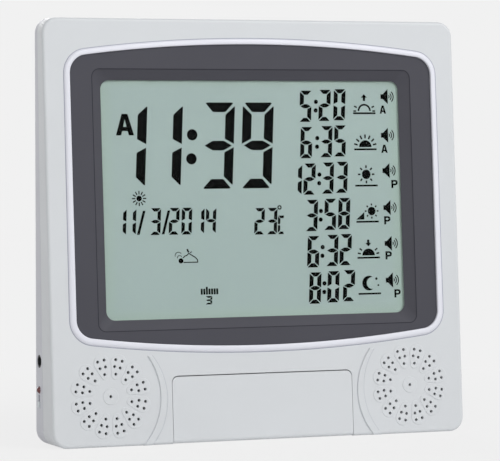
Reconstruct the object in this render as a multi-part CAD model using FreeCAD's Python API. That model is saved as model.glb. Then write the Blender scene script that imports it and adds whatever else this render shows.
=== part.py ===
import FreeCAD, Part
import math
import os

os.makedirs("parts", exist_ok=True)

# Prayer-time clock for a shelf or a wall. Millimetres and degrees.
# +X is to the right seen from the front, -Y is the front, +Z is up.
# The origin is the middle of the flat base.

# Case
case_width = 265.0
case_height = 250.5
rear_room = 2.4              # from the upper edge of the main board to the rear wall
lean = 4.2                   # the front face leans back, the rear face is upright
corner_radius = 9.0
front_edge_radius = 1.8
rear_edge_radius = 1.5
wall = 2.2
rear_shell_base = 14.5       # depth of the rear shell at the base
rear_shell_top = 5.5         # and at the top
seam_gap = 0.25
lip_height = 2.0
lip_wall = 1.2
lip_clearance = 0.15
touch = 0.05                 # play between pieces that lie against each other
slip = 0.3                   # play around pieces that are dropped into place
over = 1.0                   # how far a cutting shape runs past the surface that it cuts
root = 1.0                   # how far a boss runs into the wall that it stands on

# Display panel: an outline with upright sides and bowed ends, measured up the front face
panel_side = 15.9            # from the side of the case to the panel
panel_over = 14.1            # from the top of the case to the crest of the panel
panel_rise = 17.15           # from the flap to the lower crest of the panel
panel_bow_radius = 840.0
panel_corner = 11.0
panel_inset = 0.3            # its face lies below the front face
panel_thickness = 1.9
floor_corner_gap = 2.0       # looser corner of the opening in the floor behind the panel
ring_width = 3.3
ring_height = 1.2
ring_edge = 1.08
ring_skirt = 1.1

# Display window and the stack of flat pieces behind it
window_side = 20.2           # from the side of the panel to the window
window_under = 16.95         # from the lower crest of the panel to the window
window_over = 21.4           # from the window to the upper crest of the panel
window_corner = 5.5
funnel_spread = 6.6          # the sloped border around the window
funnel_depth = 3.8
funnel_wall = 1.5
funnel_corner = 5.0
lens_thickness = 1.2
lens_border = 3.0
sheet_corner = 0.8
glass_thickness = 2.4
glass_border = 5.0
ledge = 3.5                  # rim of the glass that the backlight leaves free for contacts
backlight_thickness = 2.6
holder_border = 14.0
holder_wall = 3.2
holder_flange = 2.0
holder_corner = 4.0
strip_inset = 10.0           # the contact strips end before the corners of the window
board_thickness = 1.6
board_corner = 1.5
board_screw_inset = 12.0

# Parts on the rear of the main board: x, height above the window's lower edge, own sizes
chip_places = ((0.0, 66.0, 14.0, 14.0, 1.4), (-30.0, 66.0, 9.0, 6.0, 1.4),
               (-30.0, 48.0, 9.0, 6.0, 1.4), (28.0, 44.0, 6.0, 5.0, 1.2))
capacitor_places = ((40.0, 22.0), (50.0, 22.0), (-52.0, 30.0))
capacitor_radius = 2.5
capacitor_height = 5.4
crystal_place = (14.0, 46.0)
crystal_radius = 1.0
crystal_length = 8.0

# Speakers, behind the two lower corners
speaker_side = 35.96         # from the side of the case to the middle of a loudspeaker
speaker_up = 29.5
speaker_radius = 25.5
speaker_depth = 13.0
magnet_radius = 13.5
magnet_edge = 0.5
gasket_thickness = 1.3
gasket_width = 2.2
flange_thickness = 1.0
flange_width = 2.4
basket_sheet = 0.8
basket_depth = 8.0
basket_window_radius = 3.6
pole_radius = 3.2
pole_height = 1.6
cone_sheet = 0.5
cone_depth = 5.8             # from the flange to the neck of the cone
cone_neck_radius = 7.0
cone_cap_radius = 3.5
cone_cap_rise = 2.4
surround_width = 3.0
speaker_boss_circle = 28.6
rim_grip = 0.8               # of a screw head on the rim of a loudspeaker
speaker_boss_angles = (30.0, 90.0, 210.0)     # on the right-hand speaker
grille_rings = ((13.4, 0.0), (17.64, 5.8), (21.74, 5.49))
grille_groups = 12
grille_hole_radius = 0.9
petal_height = 0.24
petal_edge = 0.18
petal_inner = (12.6, 2.4)    # distance from the middle, end radius
petal_outer = (20.4, 4.8)
disc_radius = 4.8

# Crescent ribs between the speakers and the flap, from the middle of the right-hand speaker
rib_height = 0.6
rib_edge = 0.4
rib_outer = ((-26.2, 23.0), (-35.04, -1.2), (-23.9, -30.5))
rib_inner = ((-23.4, 23.0), (-31.14, -1.3), (-18.6, -30.5))

# Flap over the buttons
flap_inset = 38.64           # from the middle of a loudspeaker to the end of the flap
flap_top = 39.6
flap_thickness = 2.0
flap_corner = 3.6
flap_side_gap = 0.3
flap_top_gap = 0.6
flap_foot = 0.4
grip_radius = 0.5
grip_half_length = 9.0
grip_drop = 1.8              # from the upper edge of the flap
barrel_radius = 2.2
pocket_depth = 4.8
flap_pin_radius = 0.8
flap_pin_length = 8.0
pin_grip = 1.8               # length of a pin inside the case wall
pin_play = 0.05
pin_fit = 0.02

# Buttons
button_names = ("mode", "set", "alarm", "light", "city", "down", "up", "enter")
button_columns = 4
button_end_gap = 2.0
button_pitch_up = 14.0
button_length = 13.0
button_width = 6.4
button_proud = 2.4
button_play = 0.25
button_flange = 1.2
button_travel = 1.0
well_end = 3.9               # from the end of the flap to the well of the buttons
well_over = 3.6              # from the well to the upper edge of the flap
well_bottom = 7.4
well_depth = 8.0
well_corner = 2.0
cap_edge = 0.8
stem_radius = 1.4
stem_play = 0.2
stem_grip = 0.35             # length of a stem inside its collar at rest
collar_gap = 0.15            # left below a button that is pressed home
collar_wall = 1.3
mat_thickness = 0.8
mat_margin = 1.0
control_board_margin = 1.0
control_screw_inset = 4.0
button_base = 0.9            # thickness of the flange around a button
cable_inset = 5.0            # from the end of the control board to its cable

# Screws
screw_radius = 1.45
screw_head_radius = 2.8
screw_head_height = 1.8
small_screw_radius = 0.95
small_head_radius = 1.9
small_head_height = 1.2
thread_play = 0.03
screw_hole_play = 0.15
head_play = 0.35
cross_width = 0.4
cross_share = 0.6            # of the head's radius
board_screw_share = 0.8      # the board's screws are this much thinner
speaker_screw_length = 2.6
control_screw_length = 3.4
board_screw_length = 4.0
case_screw_grip = 8.0        # at most this deep in a boss of the front shell
case_cross_width = 0.6
holder_screw_end = 0.4       # inside the floor
pilot_end = 0.4              # a screw hole ends this far inside the wall
pilot_rest = 0.6             # or leaves this much of the floor
boss_radius = 3.5
small_boss_radius = 2.2
boss_beside_flap = 7.6
boss_low = 9.0
boss_side = 7.2              # from the side of the case
boss_heights = (66.0, 150.0)
boss_corner = (10.0, 9.5)    # from the side and from the top of the case
boss_shoulder = 2.5

# Left side: supply socket, lamp and slide switch, on a line in the rear shell
side_line = 7.1              # from the rear face
jack_rise = 16.8             # from the lamp up to the socket
jack_hole_radius = 3.9
jack_bore_radius = 2.9
jack_body = (11.8, 7.6, 10.6)
jack_floor = 2.5             # solid rear end of the socket
jack_pin_radius = 1.0
jack_pin_depth = 1.6         # its tip lies below the outside of the case
lamp_up = 32.6
lamp_radius = 2.1
lamp_proud = 1.6
lamp_rim = 0.3
lamp_length = 7.0
lead_pitch = 2.54
lead_width = 0.5
switch_gap = 0.2             # between the lamp and the switch
switch_slot = (3.0, 7.6)
switch_body = (4.6, 5.2, 8.4)
switch_track = 1.8
leg_grip = 1.0               # length of a leg inside the switch
knob_edge = 0.3
lamp_hole_play = 0.1
knob_size = (2.5, 3.6)
knob_proud = 0.9
knob_play = 0.2
side_board_width = 9.4
side_board_over = 2.0        # above the socket
side_board_under = 8.9       # below the switch

# Batteries and their compartment in the rear
cell_radius = 7.1
cell_length = 50.0
cell_nub_radius = 2.6
cell_nub = 1.0
cell_edge = 0.8
bay_gap = 1.7                # between the battery bay and the display holder
spring_length = 6.0
spring_wire = 0.45
spring_radius = 4.2
spring_turns = 5
plate_thickness = 0.5
plate_half_size = 5.5
bay_wall = 1.6
bay_play = 0.4
door_margin = 3.0
door_thickness = 1.8
door_barrel = 1.5
door_pin_radius = 0.9
door_pin_length = 1.4
door_seat = 2.6
thumb_radius = 6.0
thumb_depth = 1.6
thumb_length = 8.0
pad_margin = 1.0             # of the thick wall around the door, beyond its frame
groove_count = 4
groove_pitch = 1.6
groove_radius = 0.35
groove_half_length = 9.0
groove_drop = 2.5            # from the upper edge of the door to the first groove

# Rear wall
keyhole_x = 60.0
keyhole_drop = 16.0          # from the top of the case
keyhole_radius = 4.5
keyhole_slot_radius = 2.2
keyhole_rise = 8.0
keyhole_room = 4.4           # for the head of a wall screw, behind the rear wall
keyhole_wall = 1.2
vent_count = 7
vent_pitch = 5.0
vent_length = 26.0
vent_width = 2.2

# Leads and cables inside the case
lead_radius = 0.6
cable_radius = 1.3
terminal_size = (6.0, 2.2, 1.6)
terminal_angle = 135.0       # on the right-hand speaker
lead_spacing = 2.8
lead_slack = 5.0             # how far a lead stands off what it is soldered to
cable_way = 13.0             # from the battery bay to the button cable
arc_share = 0.45             # of the shorter run beside a bend

# The layout of the front face
half_width = case_width / 2
speaker_x = half_width - speaker_side
flap_half_width = speaker_x - flap_inset
well_half_width = flap_half_width - well_end
well_top = flap_top - well_over
button_pitch_x = 2 * (well_half_width - button_end_gap) / button_columns
button_middle_up = (well_bottom + well_top) / 2
panel_half_width = half_width - panel_side
panel_bottom = flap_top + panel_rise
panel_top = case_height - panel_over
window_half_width = panel_half_width - window_side
window_bottom = panel_bottom + window_under
window_top = panel_top - window_over
holder_half_width = window_half_width + holder_border
holder_bottom = window_bottom - holder_border
holder_top = window_top + holder_border
board_border = glass_border + slip + holder_wall

# Depths of the display stack, in the face frame: z out of the face, so they are below zero
panel_back = -panel_inset - panel_thickness
floor_front = panel_back - touch
floor_back = floor_front - wall
funnel_back = -panel_inset - funnel_depth
lens_front = funnel_back - touch
lens_back = lens_front - lens_thickness
glass_front = lens_back - touch
glass_back = glass_front - glass_thickness
light_front = glass_back - touch
light_back = light_front - backlight_thickness
board_front = light_back - touch
board_back = board_front - board_thickness
flange_back = board_front
flange_front = flange_back + holder_flange

# The case is as deep as the upper edge of the main board needs
board_top = window_top + board_border
case_depth = (board_top * math.sin(math.radians(lean)) - board_back * math.cos(math.radians(lean))
              + rear_room + wall)
front_y = -case_depth / 2
rear_y = case_depth / 2
reach = 2 * max(case_width, case_height)
V = FreeCAD.Vector
x_axis = V(1, 0, 0)

# Face frame: x to the right, y up the front face, z out of it. Depths are below zero.
face_place = FreeCAD.Placement(V(0, front_y, 0), FreeCAD.Rotation(x_axis, 90 - lean))
shell_tilt = math.degrees(math.atan((rear_shell_base - rear_shell_top) / case_height))
seam_place = FreeCAD.Placement(V(0, rear_y - rear_shell_base, 0),
                               FreeCAD.Rotation(x_axis, 90 - shell_tilt))
upright_place = FreeCAD.Placement(V(0, 0, 0), FreeCAD.Rotation(x_axis, 90))

# Depths of the speakers
gasket_back = -wall - gasket_thickness
cone_rim_back = gasket_back - cone_sheet
flange_rear = cone_rim_back - flange_thickness

# Depths behind the flap
hinge_up = flap_foot + barrel_radius
hinge_depth = -barrel_radius
well_back = -well_depth - wall
button_seat = well_back - touch
button_back = button_seat - button_base
collar_top = button_back - button_travel - collar_gap
stem_tip = collar_top - stem_grip
mat_front = stem_tip - button_travel - 2 * touch
control_front = mat_front - mat_thickness
control_back = control_front - board_thickness

# The battery bay
cell_up = holder_bottom - bay_gap - bay_wall - bay_play - cell_radius
bay_half = (2 * cell_length + spring_length + 2 * plate_thickness + bay_play) / 2
bay_low = cell_up - cell_radius - bay_play
bay_high = cell_up + cell_radius + bay_play
bay_front = rear_y - door_thickness - touch - 2 * cell_radius - 2 * bay_play
cell_y = bay_front + bay_play + cell_radius
door_low = bay_low - door_margin
door_high = bay_high + door_margin
door_half = bay_half + door_margin
door_axis_y = rear_y - door_barrel
door_axis_up = door_low + door_barrel

# The inside of the left wall and the small board that faces it
side_wall_x = -half_width + wall
side_line_y = rear_y - side_line
side_board_x = side_wall_x + 2 * touch + jack_body[0]
jack_up = lamp_up + jack_rise
switch_up = lamp_up - lamp_radius - lamp_rim - switch_gap - switch_body[2] / 2
keyhole_up = case_height - keyhole_drop
case_boss_places = ((flap_half_width + boss_beside_flap, boss_low),
                    (half_width - boss_side, boss_heights[0]),
                    (half_width - boss_side, boss_heights[1]),
                    (half_width - boss_corner[0], case_height - boss_corner[1]))


def on_face(shape):
    placed = shape.copy()
    placed.Placement = face_place.multiply(placed.Placement)
    return placed


def upright(shape):
    placed = shape.copy()
    placed.Placement = upright_place.multiply(placed.Placement)
    return placed


def save(name, shape):
    solids = shape.Solids
    kept = solids[0] if len(solids) == 1 else Part.makeCompound(solids)
    kept.exportStep("parts/" + name + ".step")
    print(name, len(solids), "solids", round(kept.Volume, 1), "mm3", "valid", kept.isValid())


def block(x0, x1, y0, y1, z0, z1):
    return Part.makeBox(x1 - x0, y1 - y0, z1 - z0, V(x0, y0, z0))


def rod(radius, start, end):
    line = V(*end) - V(*start)
    return Part.makeCylinder(radius, line.Length, V(*start), line)


def post(radius, x, y, z0, z1):
    return rod(radius, (x, y, z0), (x, y, z1))


def arc_edge(first, middle, last):
    return Part.Arc(V(*first), V(*middle), V(*last)).toShape()


def corner_arc(cx, cy, radius, start, z):
    points = []
    for turn in (start, start + 45, start + 90):
        angle = math.radians(turn)
        points.append((cx + radius * math.cos(angle), cy + radius * math.sin(angle), z))
    return points


def joined_wire(arcs):
    """Closed wire through three-point arcs, with straight lines between them."""
    edges = []
    for index, arc in enumerate(arcs):
        edges.append(arc_edge(*arc))
        start = V(*arc[2])
        end = V(*arcs[(index + 1) % len(arcs)][0])
        if (end - start).Length > 1e-6:
            edges.append(Part.LineSegment(start, end).toShape())
    return Part.Wire(edges)


def rounded_wire(x0, x1, y0, y1, radius, z):
    centres = ((x1 - radius, y1 - radius), (x0 + radius, y1 - radius),
               (x0 + radius, y0 + radius), (x1 - radius, y0 + radius))
    return joined_wire([corner_arc(cx, cy, radius, 90 * turn, z)
                        for turn, (cx, cy) in enumerate(centres)])


def prism(wire, height):
    return Part.Face(wire).extrude(V(0, 0, height))


def rounded_block(x0, x1, y0, y1, radius, z0, z1):
    return prism(rounded_wire(x0, x1, y0, y1, radius, z0), z1 - z0)


def pill(x, y, length, width, z0, z1):
    return rounded_block(x - length / 2, x + length / 2, y - width / 2, y + width / 2,
                         width / 2 - 0.01, z0, z1)


def turned(points, x, y):
    """Solid of revolution about the z line through x, y, from (radius, z) points."""
    corners = [V(x + radius, y, z) for radius, z in points]
    wire = Part.makePolygon(corners + corners[:1])
    return Part.Face(wire).revolve(V(x, y, 0), V(0, 0, 1), 360)


def soft_edges(shape, radius, wanted):
    edges = [edge for edge in shape.Edges if wanted(edge)]
    return shape.makeFillet(radius, edges)


def slab(place, low, high):
    layer = block(-reach, reach, -reach, reach, low, high)
    layer.Placement = place
    return layer


def at_depth(edge, depth, place=FreeCAD.Placement()):
    """True for an edge that lies in the plane at this depth of the frame."""
    back = place.inverse()
    ends = [back.multVec(vertex.Point).z for vertex in edge.Vertexes]
    return all(abs(z - depth) < 1e-4 for z in ends)


def case_solid(grow, rounded=True):
    """The wedge of the whole case, grown on every side."""
    outline = rounded_wire(-half_width - grow, half_width + grow, -grow, case_height + grow,
                           corner_radius + grow, -rear_y - grow)
    wedge = upright(prism(outline, case_depth + 4 * wall + 2 * grow))
    wedge = wedge.cut(slab(face_place, grow, reach))
    if rounded:
        wedge = soft_edges(wedge, front_edge_radius + grow,
                           lambda edge: at_depth(edge, grow, face_place))
        wedge = soft_edges(wedge, rear_edge_radius + grow,
                           lambda edge: at_depth(edge, -rear_y - grow, upright_place))
    return wedge


def window_wire(border, radius, z):
    return rounded_wire(-window_half_width - border, window_half_width + border,
                        window_bottom - border, window_top + border, radius, z)


def window_block(border, radius, z0, z1):
    return prism(window_wire(border, radius, z0), z1 - z0)


def bow_points(side, border, corner, z):
    """Arc points at one end of the panel: the right corner and then the left one."""
    bow = panel_bow_radius + border
    crest = (panel_top if side > 0 else panel_bottom) + side * border
    middle = crest - side * bow
    corner_x = panel_half_width + border - corner
    rise = math.sqrt((bow - corner) ** 2 - corner_x ** 2)
    corner_up = middle + side * rise
    angle = math.atan2(rise, corner_x)
    found = {}
    for hand in (1, -1):
        arc = []
        for turn in (0, angle / 2, angle):
            arc.append((hand * (corner_x + corner * math.cos(turn)),
                        corner_up + side * corner * math.sin(turn), z))
        found[hand] = arc
    return found, (0, crest, z)


def panel_wire(border, z):
    corner = panel_corner + border
    top, top_crest = bow_points(1, border, corner, z)
    bottom, bottom_crest = bow_points(-1, border, corner, z)
    arcs = [top[1], (top[1][2], top_crest, top[-1][2]), top[-1][::-1],
            bottom[-1], (bottom[-1][2], bottom_crest, bottom[1][2]), bottom[1][::-1]]
    return joined_wire(arcs)


def panel_block(border, z0, z1):
    return prism(panel_wire(border, z0), z1 - z0)


def holder_screw_places():
    inset = small_boss_radius + slip
    across = holder_half_width - inset
    low = holder_bottom + 3 * inset
    high = holder_top - 3 * inset
    return [(side * across, up) for side in (-1, 1) for up in (low, (low + high) / 2, high)]


def board_screw_places():
    across = window_half_width + glass_border + slip + holder_wall / 2
    return [(side * across, up) for side in (-1, 1)
            for up in (window_bottom + board_screw_inset, window_top - board_screw_inset)]


def control_screw_places():
    across = well_half_width - small_boss_radius - board_corner
    return [(side * across, up) for side in (-1, 1)
            for up in (well_bottom + control_screw_inset, well_top - control_screw_inset)]


def speaker_screw_places(side):
    places = []
    for turn in speaker_boss_angles:
        angle = math.radians(turn)
        places.append((side * (speaker_x + speaker_boss_circle * math.cos(angle)),
                       speaker_up + speaker_boss_circle * math.sin(angle)))
    return places


def button_places():
    places = []
    for index, name in enumerate(button_names):
        row, column = divmod(index, button_columns)
        x = (column - (button_columns - 1) / 2) * button_pitch_x
        places.append((name, x, button_middle_up + (0.5 - row) * button_pitch_up))
    return places


def grille_points():
    points = [(0.0, 0.0)]
    for group in range(grille_groups):
        middle = 360.0 / grille_groups * (group + 0.5)
        for radius, spread in grille_rings:
            for turn in ({0.0} if spread == 0 else {-spread, spread}):
                angle = math.radians(middle + turn)
                points.append((radius * math.cos(angle), radius * math.sin(angle)))
    return points


def petal(x, y, turn):
    """Pad around one group of grille holes: two round ends and their common tangents."""
    inner_at, inner_radius = petal_inner
    outer_at, outer_radius = petal_outer
    tangent = math.pi / 2 + math.asin((outer_radius - inner_radius) / (outer_at - inner_at))
    outer = [(outer_at + outer_radius * math.cos(angle), outer_radius * math.sin(angle), 0)
             for angle in (-tangent, 0, tangent)]
    inner = [(inner_at + inner_radius * math.cos(angle), inner_radius * math.sin(angle), 0)
             for angle in (tangent, math.pi, -tangent)]
    pad = prism(joined_wire([outer, inner]), wall / 2 + petal_height)
    pad.Placement = FreeCAD.Placement(V(x, y, -wall / 2), FreeCAD.Rotation(V(0, 0, 1), turn))
    return soft_edges(pad, petal_edge, lambda edge: at_depth(edge, petal_height))


def grille_relief(side):
    x = side * speaker_x
    pads = []
    for group in range(grille_groups):
        pads.append(petal(x, speaker_up, 360.0 / grille_groups * (group + 0.5)))
    disc = post(disc_radius, x, speaker_up, -wall / 2, petal_height)
    pads.append(soft_edges(disc, petal_edge, lambda edge: at_depth(edge, petal_height)))
    return pads


def crescent(side):
    outer = [(side * (speaker_x + x), speaker_up + up, -wall / 2) for x, up in rib_outer]
    inner = [(side * (speaker_x + x), speaker_up + up, -wall / 2) for x, up in rib_inner]
    wire = joined_wire([outer, inner[::-1]])
    above_base = block(-reach, reach, -reach, reach, 0, reach)
    rib = soft_edges(prism(wire, wall / 2 + rib_height), rib_edge,
                     lambda edge: at_depth(edge, rib_height))
    return on_face(rib).common(case_solid(rib_height)).common(above_base)


def face_y(up):
    """Depth of the front face at a height above the base."""
    return front_y + up * math.tan(math.radians(lean))


def seam_y(up):
    return rear_y - rear_shell_base + up * math.tan(math.radians(shell_tilt))


def case_boss_list():
    return [(side * x, up) for x, up in case_boss_places for side in (-1, 1)]


def front_bosses():
    bosses = []
    for x, up in case_boss_list():
        bosses.append(rod(boss_radius, (x, face_y(up) + wall / 2, up), (x, seam_y(up), up)))
    for x, up in holder_screw_places():
        bosses.append(on_face(post(small_boss_radius, x, up, flange_front, floor_back + root)))
    for side in (-1, 1):
        for x, up in speaker_screw_places(side):
            bosses.append(on_face(post(small_boss_radius, x, up, flange_rear, -wall / 2)))
    for x, up in control_screw_places():
        bosses.append(on_face(post(small_boss_radius, x, up, control_front, well_back + root)))
    return bosses


def front_pilots():
    """Screw holes that start at the rear end of each boss."""
    holes = []
    for x, up in case_boss_list():
        holes.append(rod(screw_radius + thread_play, (x, face_y(up) + wall + root, up),
                         (x, seam_y(up) + over, up)))
    small = small_screw_radius + thread_play
    for x, up in holder_screw_places():
        holes.append(on_face(post(small, x, up, flange_front - over, floor_front - pilot_rest)))
    for side in (-1, 1):
        for x, up in speaker_screw_places(side):
            holes.append(on_face(post(small, x, up, flange_rear - over, -wall + pilot_end)))
    for x, up in control_screw_places():
        holes.append(on_face(post(small, x, up, control_front - over, well_back + pilot_end)))
    return holes


def front_cover():
    outside = case_solid(0)
    shell = outside.cut(case_solid(-wall, False)).common(slab(seam_place, 0, reach))
    pocket_half = flap_half_width + flap_side_gap
    pocket_high = flap_top + flap_top_gap
    solids = [on_face(panel_block(ring_skirt + slip + wall, floor_back, -wall / 2)),
              on_face(block(-pocket_half - wall, pocket_half + wall, -wall, pocket_high + wall,
                            -pocket_depth - wall, -wall / 2)),
              on_face(block(-well_half_width - wall, well_half_width + wall, well_bottom - wall,
                            well_top + wall, well_back, -pocket_depth))]
    extras = solids[0].multiFuse(solids[1:] + front_bosses()).common(outside)
    cover = shell.fuse(extras)
    cuts = [on_face(panel_block(ring_skirt + slip, floor_front, over)),
            on_face(window_block(funnel_spread + funnel_wall + slip, funnel_corner + floor_corner_gap,
                                 floor_back - over, 0)),
            on_face(rounded_block(-pocket_half, pocket_half, -reach, pocket_high,
                                  flap_corner + flap_side_gap, -pocket_depth, wall)),
            on_face(rounded_block(-well_half_width, well_half_width, well_bottom, well_top, well_corner,
                                  -well_depth, 0))]
    for name, x, up in button_places():
        cuts.append(on_face(pill(x, up, button_length + 2 * button_play,
                                 button_width + 2 * button_play, well_back - over, 0)))
    pin_end = pocket_half + pin_grip
    cuts.append(on_face(rod(flap_pin_radius + pin_fit, (-pin_end, hinge_up, hinge_depth),
                            (pin_end, hinge_up, hinge_depth))))
    cover = cover.cut(Part.makeCompound(cuts + front_pilots()))
    relief = grille_relief(-1) + grille_relief(1)
    cover = cover.multiFuse([on_face(pad) for pad in relief] + [crescent(-1), crescent(1)])
    holes = []
    for side in (-1, 1):
        for x, y in grille_points():
            holes.append(on_face(post(grille_hole_radius, side * speaker_x + x, speaker_up + y,
                                      -wall - over, petal_height + over)))
    return cover.cut(Part.makeCompound(holes))


def bezel_ring():
    skirt_low = floor_front + touch
    bead = panel_block(ring_width, 0, ring_height)
    bead = bead.cut(panel_block(0, -over, ring_height + over))
    bead = soft_edges(bead, ring_edge, lambda edge: at_depth(edge, ring_height))
    skirt = panel_block(ring_skirt, skirt_low, 2 * touch)
    skirt = skirt.cut(panel_block(0, skirt_low - over, over))
    return on_face(bead.fuse(skirt))


def display_panel():
    front = -panel_inset
    plate = panel_block(-touch, panel_back, front)
    rim = window_wire(funnel_spread + funnel_wall, funnel_corner + funnel_wall, panel_back)
    foot = window_wire(funnel_wall, window_corner + funnel_wall, funnel_back)
    outside = Part.makeLoft([rim, foot], True, True)
    inside = Part.makeLoft([window_wire(funnel_spread, funnel_corner, front),
                            window_wire(0, window_corner, funnel_back)], True, True)
    lip = window_block(0, window_corner, funnel_back - over, funnel_back + touch / 5)
    return on_face(plate.fuse(outside).cut(inside).cut(lip))


def sheet(border, back, front):
    """One flat piece of the stack behind the window."""
    return on_face(window_block(border, sheet_corner, back, front))


def display_holder():
    outer = holder_border
    inner = glass_border + slip
    flange = window_block(outer, holder_corner, flange_back, flange_front)
    sleeve = window_block(inner + holder_wall, holder_wall, board_front + touch, floor_back - touch)
    holder = flange.fuse(sleeve)
    holder = holder.cut(window_block(inner, board_corner, board_front - over, floor_back + over))
    holes = []
    for x, up in holder_screw_places():
        holes.append(post(small_screw_radius + 2 * thread_play, x, up, flange_back - over,
                          flange_front + over))
    for x, up in board_screw_places():
        holes.append(post(small_screw_radius * board_screw_share + thread_play, x, up,
                          board_front - over, board_front + board_screw_length + pilot_end))
    return on_face(holder.cut(Part.makeCompound(holes)))


def contact_strips():
    """Rubber strips that join the free rims of the glass to the main board."""
    half = window_half_width - strip_inset
    strips = []
    for side in (-1, 1):
        rim = window_top + glass_border if side > 0 else window_bottom - glass_border
        low, high = sorted((rim - side * touch, rim - side * (ledge - slip)))
        strips.append(block(-half, half, low, high, board_front + touch / 2,
                            glass_back - touch / 2))
    return on_face(Part.makeCompound(strips))


def main_board():
    board = window_block(board_border, board_corner, board_back, board_front)
    holes = []
    for x, up in board_screw_places():
        holes.append(post(small_screw_radius * board_screw_share + 2 * thread_play, x, up,
                          board_back - over, board_front + over))
    return on_face(board.cut(Part.makeCompound(holes)))


def board_seat():
    """Depth of the rear side of the main board, with the play that its parts keep."""
    return board_back - touch / 2


def main_chips():
    chips = []
    for x, rise, width, height, thickness in chip_places:
        up = window_bottom + rise
        chip = block(x - width / 2, x + width / 2, up - height / 2, up + height / 2,
                     board_seat() - thickness, board_seat())
        chips.append(on_face(chip))
    return Part.makeCompound(chips)


def board_capacitors():
    return Part.makeCompound([on_face(post(capacitor_radius, x, window_bottom + rise,
                                           board_seat() - capacitor_height, board_seat()))
                              for x, rise in capacitor_places])


def clock_crystal():
    x, rise = crystal_place
    depth = board_seat() - crystal_radius
    low = window_bottom + rise
    return on_face(rod(crystal_radius, (x, low, depth), (x, low + crystal_length, depth)))


def speaker_gaskets():
    rings = []
    for side in (-1, 1):
        inner = speaker_radius - gasket_width
        ring = turned([(inner, -wall), (speaker_radius, -wall), (speaker_radius, gasket_back),
                       (inner, gasket_back)], side * speaker_x, speaker_up)
        rings.append(on_face(ring))
    return Part.makeCompound(rings)


def speaker_cone(side):
    rim = speaker_radius - 2 * slip
    roll = rim - surround_width
    seat = speaker_radius - flange_width
    neck_depth = flange_rear - cone_depth
    cap_depth = neck_depth + cone_cap_rise
    points = [(0, cap_depth), (cone_cap_radius, cap_depth - cone_sheet),
              (cone_neck_radius, neck_depth), (roll, gasket_back - cone_sheet / 2),
              (seat, gasket_back), (rim, gasket_back), (rim, cone_rim_back),
              (seat, cone_rim_back), (roll, cone_rim_back - cone_sheet / 2),
              (cone_neck_radius, neck_depth - cone_sheet),
              (cone_cap_radius, cap_depth - 2 * cone_sheet), (0, cap_depth - cone_sheet)]
    return on_face(turned(points, side * speaker_x, speaker_up))


def speaker_frame(side):
    back = flange_rear - basket_depth
    inner = speaker_radius - flange_width
    seat = magnet_radius + basket_sheet
    hole = pole_radius + slip
    points = [(inner, cone_rim_back), (speaker_radius, cone_rim_back),
              (speaker_radius, flange_rear), (inner + 3 * basket_sheet / 2, flange_rear),
              (seat + basket_sheet, back), (hole, back), (hole, back + basket_sheet),
              (seat, back + basket_sheet), (inner, flange_rear)]
    x = side * speaker_x
    basket = turned(points, x, speaker_up)
    windows = []
    at = (magnet_radius + speaker_radius) / 2
    for turn in (45, 135, 225, 315):
        angle = math.radians(turn)
        windows.append(post(basket_window_radius, x + at * math.cos(angle),
                            speaker_up + at * math.sin(angle), back - over, flange_rear - pilot_end))
    return on_face(basket.cut(Part.makeCompound(windows)))


def speaker_magnet(side):
    front = flange_rear - basket_depth
    back = flange_rear - speaker_depth
    x = side * speaker_x
    ring = post(magnet_radius, x, speaker_up, back, front)
    pole = post(pole_radius, x, speaker_up, back, front + pole_height)
    return on_face(soft_edges(ring.fuse(pole).removeSplitter(), magnet_edge,
                              lambda edge: at_depth(edge, back)))


def head_screw(x, up, seat, tip, radius, head_radius, head_height):
    """Screw in the face frame: its head lies behind the seat and its shank runs forward."""
    shank = post(radius, x, up, seat, tip)
    head = post(head_radius, x, up, seat - head_height, seat)
    arm = head_radius * cross_share
    half = cross_width / 2
    low = seat - head_height
    cross = block(x - arm, x + arm, up - half, up + half, low, seat - head_height / 2)
    across = block(x - half, x + half, up - arm, up + arm, low, seat - head_height / 2)
    return on_face(head.fuse(shank).cut(cross.fuse(across)))


def speaker_screws():
    """Their wide heads reach over the rims of the loudspeakers."""
    screws = []
    head_radius = speaker_boss_circle - speaker_radius + rim_grip
    for side in (-1, 1):
        for x, up in speaker_screw_places(side):
            screws.append(head_screw(x, up, flange_rear - touch, flange_rear + speaker_screw_length,
                                     small_screw_radius, head_radius, small_head_height))
    return Part.makeCompound(screws)


def holder_screws():
    return Part.makeCompound([head_screw(x, up, flange_back - touch, floor_back + holder_screw_end,
                                         small_screw_radius, small_head_radius, small_head_height)
                              for x, up in holder_screw_places()])


def board_screws():
    radius = small_screw_radius * board_screw_share
    head_radius = small_head_radius * board_screw_share
    return Part.makeCompound([head_screw(x, up, board_back - touch, board_front + board_screw_length,
                                         radius, head_radius, small_head_height)
                              for x, up in board_screw_places()])


def flap_door():
    plate = rounded_block(-flap_half_width, flap_half_width, -reach, flap_top, flap_corner,
                          -flap_thickness, 0)
    lower = block(-reach, reach, -2 * reach, hinge_up, -reach, reach)
    barrel = rod(barrel_radius, (-flap_half_width, hinge_up, hinge_depth),
                 (flap_half_width, hinge_up, hinge_depth))
    grip_up = flap_top - grip_drop
    grip = rod(grip_radius, (-grip_half_length, grip_up, -flap_thickness),
               (grip_half_length, grip_up, -flap_thickness))
    flap = plate.cut(lower).multiFuse([barrel, grip])
    bore_start = flap_half_width - flap_pin_length - slip
    for side in (-1, 1):
        flap = flap.cut(rod(flap_pin_radius + pin_play, (side * bore_start, hinge_up, hinge_depth),
                            (side * (flap_half_width + over), hinge_up, hinge_depth)))
    return on_face(flap)


def flap_pins():
    pins = []
    end = flap_half_width + flap_side_gap + pin_grip - slip
    for side in (-1, 1):
        pins.append(on_face(rod(flap_pin_radius, (side * (flap_half_width - flap_pin_length),
                                                  hinge_up, hinge_depth),
                                (side * end, hinge_up, hinge_depth))))
    return Part.makeCompound(pins)


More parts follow.
